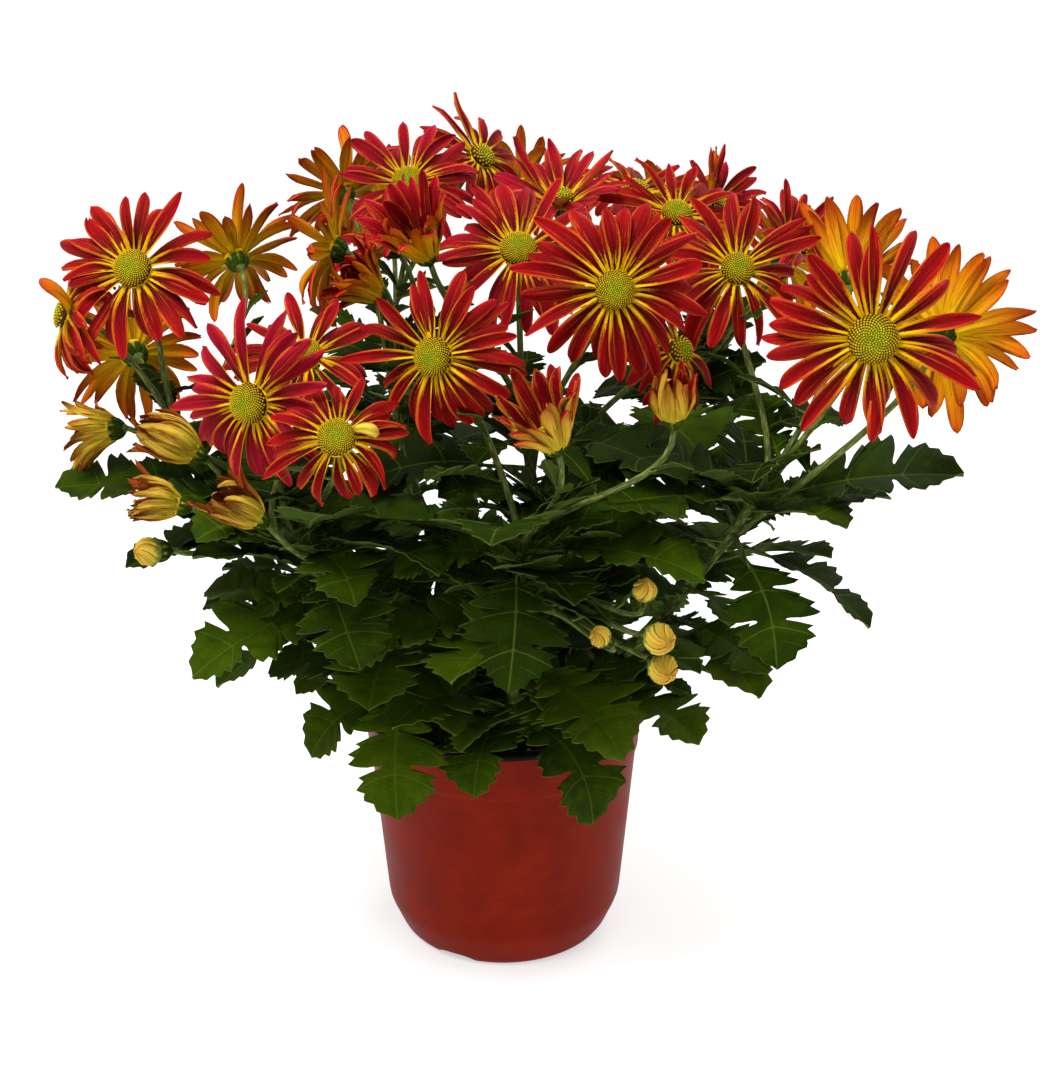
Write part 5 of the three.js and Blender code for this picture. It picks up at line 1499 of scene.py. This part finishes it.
# %% Leaf blades
def grow_blade(mesh, leaf, blade, seed, veins=VEIN_ENDS, steps=1, columns_at=COLUMN_SHARES):
    """One leaf blade as a thin closed sheet along the leaf's arc."""
    random = np.random.default_rng(seed)
    length = leaf["length"]
    outline = smooth_outline(blade, steps)
    rows, columns, centre = len(outline), 2 * len(columns_at) - 1, len(columns_at) - 1
    # Each row starts on the midrib a little behind its end at the edge, as a vein does.
    anchor = np.maximum.accumulate(np.clip(outline[:, 0] - 0.8 * outline[:, 1], 0, 1))
    anchor = np.convolve(np.pad(anchor, 3, mode="edge"), np.ones(7) / 7, mode="valid")
    anchor = np.linspace(0, 1, rows) * 0.25 + anchor * 0.75
    anchor = anchor / anchor[-1]
    middle = np.stack([anchor, 0 * anchor], axis=1)
    flat = np.zeros((rows, columns, 2))
    bend = random.uniform(-0.04, 0.04)
    for side in (-1, 1):
        slow = np.sin(outline[:, 0] * random.uniform(5, 9) + random.uniform(0, TURN))
        wobble = 1 + 0.14 * slow + 0.012 * random.normal(size=rows)
        edge = np.stack([outline[:, 0], side * outline[:, 1] * wobble], axis=1)
        for j, share in enumerate(columns_at):
            flat[:, centre + side * j] = middle + (edge - middle) * share
            flat[:, centre + side * j, 0] -= VEIN_BOW * 4 * share * (1 - share) * outline[:, 1]
    x, y = flat[..., 0], flat[..., 1] + bend * np.sin(math.pi * flat[..., 0])
    plane = flat * length
    # The distance to the nearest vein starts with the midrib, which tapers towards the tip.
    near = np.abs(plane[..., 1]) - (0.5 - 0.35 * x) * length / 60
    for end, out in veins:
        row = plane[end * steps]
        for half in (row[centre::-1], row[centre:]):
            for j in range(centre):
                if columns_at[j] >= out - 0.1:
                    near = np.minimum(near, distance_to(plane, half[j], half[j + 1]) - 0.1 + 0.4 * out)
    reach = np.abs(np.concatenate([columns_at[:0:-1], columns_at]))
    rim = (1 - reach)[None, :] * np.maximum(np.abs(outline[:, 1] * length)[:, None], 1.5)
    rim[[0, -1]] = 0.0
    side = np.sign(np.linspace(-1, 1, columns))
    wave = LEAF_WAVE * length * np.sin(LEAF_RIPPLES * x + side * leaf["phase"]) * reach[None, :]
    pucker = LEAF_PUCKER * length * (1 - np.exp(-((np.clip(near, 0, None) / (0.04 * length)) ** 2)))
    height = LEAF_FOLD * np.abs(y) * length + wave + pucker
    rib = np.exp(-((plane[..., 1] / (0.013 * length)) ** 2)) * (1.1 - x) * 0.015 * length
    top = leaf_point(leaf, x, y * length, height)
    bottom = leaf_point(leaf, x, y * length, height - LEAF_THICK - rib)
    mesh.add(
        np.concatenate([top.reshape(-1, 3), bottom.reshape(-1, 3)]),
        sheet_faces(rows, columns),
        LEAF_FINISH,
        under=np.repeat([0.0, 1.0], rows * columns),
        vein=np.tile(near.ravel(), 2),
        rim=np.tile(rim.ravel(), 2),
        seed=leaf["tone"],
    )


def leaf_point(leaf, share, y, z):
    """A leaf's point from its share of the length, its distance from the midrib and its height there."""
    share = np.asarray(share, float)
    end = leaf["rise"] - leaf["droop"]
    angle = np.radians(leaf["rise"] - leaf["droop"] * share)[..., None]
    normal = UP * np.cos(angle) - leaf["level"] * np.sin(angle)
    middle = arc(leaf["base"], leaf["level"], leaf["length"], leaf["rise"], end, share)
    roll = math.radians(leaf["roll"])
    y, z = np.asarray(y)[..., None], np.asarray(z)[..., None]
    sideways = leaf["across"] * (y * math.cos(roll) - z * math.sin(roll))
    return middle + sideways + normal * (z * math.cos(roll) + y * math.sin(roll))


def placed_leaf(leaf, attempt=(1, 0, 0)):
    """The leaf with the values that one attempt gives it."""
    share, bend, turn = attempt
    placed = dict(leaf)
    placed["level"], placed["across"] = headed(math.radians(leaf["heading"] + turn))
    placed["rise"] = leaf["rise"] + bend
    placed["base"] = arc(leaf["start"], placed["level"], leaf["petiole"], placed["rise"], placed["rise"], 1.0)
    placed["length"] = leaf["length"] * share
    return placed


def find_leaf(leaf, corners):
    """The attempt whose tip the frame's solid holds, or nothing."""
    tips = [placed_leaf(leaf, attempt) for attempt in LEAF_TRIES]
    misses = [np.linalg.norm(corners - leaf_point(tip, 1.0, 0.0, 0.0), axis=1).min() for tip in tips]
    best = int(np.argmin(misses))
    return tips[best] if misses[best] < MATCH else None


# %% [markdown]
# The leaves that show from the front were placed one by one, and the others spiral up each stem by the same
# golden angle as the florets. Low leaves are long and hang over the lip, and high ones are short and stand
# out.

# %% Leaves of the plan
# Each shown leaf: stem, share of its length, heading, length, rise of the petiole, and droop by the tip.
SHOWN_LEAVES = [
    (4, 0.97, -12, 68, 20, 20),
    (4, 0.86, -74, 50, -26, 34),
    (4, 0.82, -26, 54, -8, 40),
    (4, 0.72, 196, 62, 8, 30),
    (4, 0.88, 120, 64, 40, 40),
    (4, 0.98, 206, 60, 14, 22),
    (4, 0.5, -46, 42, 0, 24),
    (4, 0.14, -44, 50, 16, 50),
    (2, 0.95, -96, 48, -30, 44),
    (2, 0.97, 168, 66, 12, 22),
    (2, 0.93, -20, 62, 14, 36),
    (2, 0.1, -54, 62, 18, 96),
    (2, 0.05, -104, 50, 18, 90),
    (2, 0.4, -52, 60, 6, 50),
    (2, 0.66, 196, 60, 6, 44),
    (0, 0.62, -150, 60, -2, 34),
    (0, 0.3, -74, 56, -26, 44),
    (0, 0.56, 182, 58, 10, 26),
    (0, 0.12, -158, 54, 18, 84),
    (0, 0.82, -66, 48, -12, 40),
    (1, 0.74, 198, 52, 2, 24),
    (1, 0.96, 188, 54, 8, 14),
    (1, 0.36, 204, 58, -4, 34),
    (3, 0.95, -52, 62, 12, 40),
    (3, 0.86, 184, 58, 8, 30),
]
SHOWN_PETIOLE = 14
SPIRAL_LEAVES = 7
SPIRAL_ANGLE = 137.5
LOW_LEAF = {"length": 64, "petiole": 15, "rise": 26, "droop": 66}
HIGH_LEAF = {"length": 56, "petiole": 11, "rise": 34, "droop": 46}
SPREAD = {"heading": 14, "length": 6, "petiole": 3, "rise": 8, "droop": 14, "roll": 14, "phase": 3}

leaves = []
for i, row in enumerate(SHOWN_LEAVES):
    leaf = dict(zip(("stem", "share", "heading", "length", "rise", "droop"), row))
    dice = Dice(200 + i)
    for key, middle in (("petiole", SHOWN_PETIOLE), ("roll", 0), ("phase", 0)):
        leaf[key] = dice.around(middle, SPREAD[key])
    leaves.append(leaf)
for s in range(len(STEMS)):
    dice = Dice(100 + s)
    for i in range(SPIRAL_LEAVES):
        climb = i / (SPIRAL_LEAVES - 1)
        leaf = {"stem": s, "share": 0.06 + 0.91 * climb}
        leaf["heading"] = dice.around(SPIRAL_ANGLE * (i + 2 * s), SPREAD["heading"])
        for key in LOW_LEAF:
            leaf[key] = dice.around(LOW_LEAF[key] + (HIGH_LEAF[key] - LOW_LEAF[key]) * climb, SPREAD[key])
        for key in ("roll", "phase"):
            leaf[key] = dice.around(0, SPREAD[key])
        leaves.append(leaf)
for leaf in leaves:
    leaf["start"] = curves[leaf["stem"]].at(leaf["share"])
print("leaves of the plan:", len(leaves))

# %% [markdown]
# Small leaves stand in the axils of the large ones, and bracts on the flower stalks, as they do on the real
# plant. They are too small for the model's solids. The stalks carry short stiff hairs.

# %% Small leaves, bracts and hairs
AXIL_LEAVES = 22
AXIL_LEAF = {
    "heading": (-20, 20),
    "length": (28, 48),
    "petiole": (5, 12),
    "rise": (10, 45),
    "droop": (15, 60),
    "roll": (-25, 25),
    "phase": (-3, 3),
    "tone": (0.1, 0.9),
}
BRACT = {
    "heading": (0, 360),
    "length": (13, 30),
    "petiole": (1, 4),
    "rise": (20, 60),
    "droop": (10, 50),
    "roll": (-20, 20),
    "phase": (-3, 3),
    "tone": (0.3, 0.9),
}
BRACT_STALK = 40
BRACT_SHARES = (0.14, 0.3, 0.5, 0.75)
LOBED_BRACTS = 2
LOW_BRACT = 1.6
PETIOLE_RADII = np.array([1.5, 1.25, 1.1, 0.9, 0.5])


def shaded_leaf_tone(at, chance):
    """How light a leaf is: the low ones are olive, and those just below the flowers are painted nearly black
    as painted shade under the heads.
    """
    return chance + 0.35 - 0.5 * np.clip((at[2] - 110) / 150, 0, 1) - 0.4 * np.clip((at[2] - 200) / 45, 0, 1)


def small_leaf(at, heading, ranges, random):
    """A leaf that starts at a point, with each of its values drawn from a range."""
    leaf = {key: random.uniform(*span) for key, span in ranges.items()}
    leaf["start"] = at
    leaf["heading"] += heading
    leaf["tone"] = shaded_leaf_tone(at, leaf["tone"])
    return placed_leaf(leaf)


def grow_petiole(mesh, leaf, thick, seed):
    """The leaf's own stalk, which runs on into the midrib."""
    into = leaf_point(leaf, np.array([0.0, 0.06, 0.14]), np.zeros(3), np.array([-0.5, -0.5, -0.4]))
    path = np.vstack([leaf["start"], 0.5 * (leaf["start"] + leaf["base"]), into])
    grow_tube(mesh, path, PETIOLE_RADII * thick, 6, seed=seed)


def grow_down(mesh, line, radius, count, seed):
    """Short stiff hairs that stand off a stalk, drawn coarser than the real ones so that they show."""
    random = np.random.default_rng(seed)
    shares = random.uniform(0.03, 0.97, count)
    feet = line.at(shares)
    ahead = line.at(np.minimum(shares + 0.01, 1)) - feet
    ahead /= np.linalg.norm(ahead, axis=1)[:, None]
    out = np.cross(ahead, random.normal(size=(count, 3)))
    out /= np.linalg.norm(out, axis=1)[:, None]
    aside = np.cross(ahead, out)
    feet = feet + out * radius * 0.8
    tips = feet + (out + 0.35 * ahead) * random.uniform(0.8, 1.5, count)[:, None]
    back = feet - 0.05 * ahead
    corners = [feet + 0.07 * ahead, back + 0.06 * aside, back - 0.06 * aside, tips]
    first = (4 * np.arange(count))[:, None, None]
    sides = np.array([[0, 1, 3], [1, 2, 3], [2, 0, 3], [0, 2, 1]])[None]
    mesh.add(np.stack(corners, axis=1), [(sides + first).reshape(-1, 3)], STEM_FINISH, along=5.0, seed=0.9)


# %% [markdown]
# Now each leafy stem is grown as one piece: the ribbed stem itself, its stalks with their cups, and its
# leaves.

# %% Leafy stems
STEM_SIDES = 15
STEM_STEPS = 30
STEM_RADIUS = 3.0
STEM_RIBS = 5
STEM_HAIRS = 260
HAIRS_PER_MM = 1.4
# How far below its first point a stem still has points, down into the peat.
ROOT_DEPTHS = (28, 14, 4)
FIRST_STALK = 0.6
STALK_SIDES = 10
STALK_STEPS = 16
CUP_SHARE = 0.82

stalk_count = leaf_count = 0
for s, curve in enumerate(curves):
    node = f"leafy_stem_{s + 1}"
    corners = corners_of(node)
    mesh = Mesh()
    climb = np.linspace(0, 1, STEM_STEPS)
    path = np.vstack([*(curve.points[0] - depth * UP for depth in ROOT_DEPTHS), curve.at(climb)])
    radii = [STEM_RADIUS] * len(ROOT_DEPTHS) + list(STEM_RADIUS - climb)
    grow_tube(mesh, path, radii, STEM_SIDES, STEM_RIBS, 0.07, s)
    grow_down(mesh, curve, 2.6, STEM_HAIRS, s)
    carried = sorted([p for p in flowers + balls if p["stem"] == s], key=lambda p: p["at"][2])
    for i, piece in enumerate(carried):
        share = FIRST_STALK + (1 - FIRST_STALK) * (i + 1) / len(carried)
        around, line = find_stalk(curve, share, piece["seat"], corners)
        stalk_count += around >= 4
        piece["stalk"] = line
        steps = np.linspace(0, 1, STALK_STEPS)
        radii = STALK_RADIUS * (1 - 0.15 * steps)
        grow_tube(mesh, line.at(steps), radii, STALK_SIDES, STEM_RIBS, 0.06, s + i / 9)
        grow_cup(mesh, piece["seat"], piece.get("disc", piece.get("wide")) * CUP_SHARE, 0.3 + i / 20)
        grow_down(mesh, line, STALK_RADIUS, int(HAIRS_PER_MM * line.lengths[-1]), 40 * s + i)
    for n, leaf in enumerate(leaves):
        shape = find_leaf(leaf, corners) if leaf["stem"] == s else None
        if shape is None:
            continue
        leaf_count += 1
        shape["tone"] = shaded_leaf_tone(shape["start"], np.random.default_rng(n).uniform(0.1, 0.9))
        grow_blade(mesh, shape, BLADE, 500 + n, steps=2 if n < len(SHOWN_LEAVES) else 1)
        grow_petiole(mesh, shape, 1.0, n)
    for i in range(AXIL_LEAVES):
        random = np.random.default_rng(900 + 40 * s + i)
        share = 0.08 + 0.9 * ((i + random.uniform(0, 0.6)) / AXIL_LEAVES) ** 0.8
        small = small_leaf(curve.at(share), SPIRAL_ANGLE * i + 51 * s, AXIL_LEAF, random)
        grow_blade(mesh, small, BLADE, 700 + 40 * s + i, columns_at=SMALL_COLUMN_SHARES)
        grow_petiole(mesh, small, 0.7, i)
    for i, piece in enumerate(carried):
        shares = BRACT_SHARES if piece["stalk"].lengths[-1] > BRACT_STALK else ()
        for k, share in enumerate(shares):
            random = np.random.default_rng(100 * s + 4 * i + k)
            small = small_leaf(piece["stalk"].at(share), 0, BRACT, random)
            outline, veins = (BLADE, VEIN_ENDS) if k < LOBED_BRACTS else (SMALL_BLADE, [])
            small["length"] *= LOW_BRACT if k < LOBED_BRACTS else 1
            grow_blade(mesh, small, outline, 800 + 4 * i + k, veins, columns_at=SMALL_COLUMN_SHARES)
            grow_petiole(mesh, small, 0.5, i)
    mesh.piece(f"greenery_{s + 1}", [stem_skin, leaf_skin], "green_parts", [node])
print("stalks found:", stalk_count, "of", len(flowers) + len(balls))
print("leaves found:", leaf_count, "of", len(leaves))

# %% [markdown]
# The round buds are tight knots of young petals, each folded over the next and swept round to one side,
# above two rings of papery scales. Each petal is a long strip that hugs the knot and is lifted over its
# neighbour.

# %% Round buds
KNOT_SIDES = 28
# The knot's form, as shares of its length and of its radius.
KNOT_HEIGHTS = np.array([0, 0.15, 0.36, 0.58, 0.78, 0.92, 1.0])
KNOT_RADII = np.array([0.62, 0.88, 1.0, 0.95, 0.72, 0.4, 0.06])
KNOT_CORE = 0.94
BUD_STRIPS = 15
BUD_SEPALS = 9
BUD_SCALE_GRID = (7, 4)
STRIP_SWEEP = 1.3

for ball in balls:
    mesh = Mesh()
    seat, long, wide = ball["seat"], ball["long"], ball["wide"]
    heights, radii = KNOT_HEIGHTS * long, KNOT_RADII * wide
    form = (heights, radii)
    core, faces = turned([(0, 0), *zip(radii * KNOT_CORE, heights), (0, long)], KNOT_SIDES)
    # The ground between the strips is painted the dark brown of their edges, as painted shade in the gaps
    # between them.
    mesh.add(core, faces, 0, seat, across=1.6, along=0.9)
    random = np.random.default_rng(int(10 * wide) + int(long))
    for k in range(BUD_STRIPS):
        turn = 2 * math.pi * k / BUD_STRIPS + random.uniform(-0.1, 0.1)
        span = (0.1 * long, long * random.uniform(0.93, 1.03))
        shape = (span, turn, 0.27 * wide, 0.1 + 0.45 * (k % 2))
        grow_scale(mesh, seat, form, *shape, 0, random.uniform(), STRIP_SWEEP, BUD_SCALE_GRID, 0.5)
    for ring, high in enumerate((0.34, 0.46)):
        for k in range(BUD_SEPALS):
            turn = 2 * math.pi * (k + 0.5 * ring) / BUD_SEPALS
            shape = ((0.0, high * long), turn, 0.24 * wide, 0.8 - 0.25 * ring)
            grow_scale(mesh, seat, form, *shape, 2, 0.4, 0.0, BUD_SCALE_GRID, 0.25)
    name, skins = ball["node"].replace("bud", "knot"), [knot_skin, leaf_skin, scale_skin]
    mesh.piece(name, skins, "bud_petals", [ball["node"]])

# %% [markdown]
# The floor is a plain pale sheet that the pot stands on. It belongs to the stage and not to the part. It is
# lit from within as a light table is, which takes the shadows out as in the photograph.

# %% Floor
HALF_FLOOR = 60.0
GLOW = 0.52
board, tree, shader = new_material("matt white board")
place = add(tree, "TexCoord", out="Object")
grain = add(tree, "TexNoise", {"Vector": place, "Scale": 12.0})
paint = add(tree, "ValToRGB", [grain], stops=[(0, "#CACAC9"), (1, "#D0D0CF")])
feed(tree, shader, {"Base Color": paint, "Roughness": 0.9})
feed(tree, shader, {"Emission Color": "#FFFFFF", "Emission Strength": GLOW})
sheet = bpy.data.meshes.new("floor")
corners = [(x * HALF_FLOOR, y * HALF_FLOOR, 0) for x, y in ((-1, -1), (1, -1), (1, 1), (-1, 1))]
sheet.from_pydata(corners, [], [(0, 1, 2, 3)])
sheet.materials.append(board)
new_object("floor", sheet)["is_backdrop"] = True
print("floor:", 2 * HALF_FLOOR, "m across")

# %% Measure and finish
size = {"cad": [list(corner) for corner in cad_box], "visual": [list(corner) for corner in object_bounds()]}
print("box:", size)
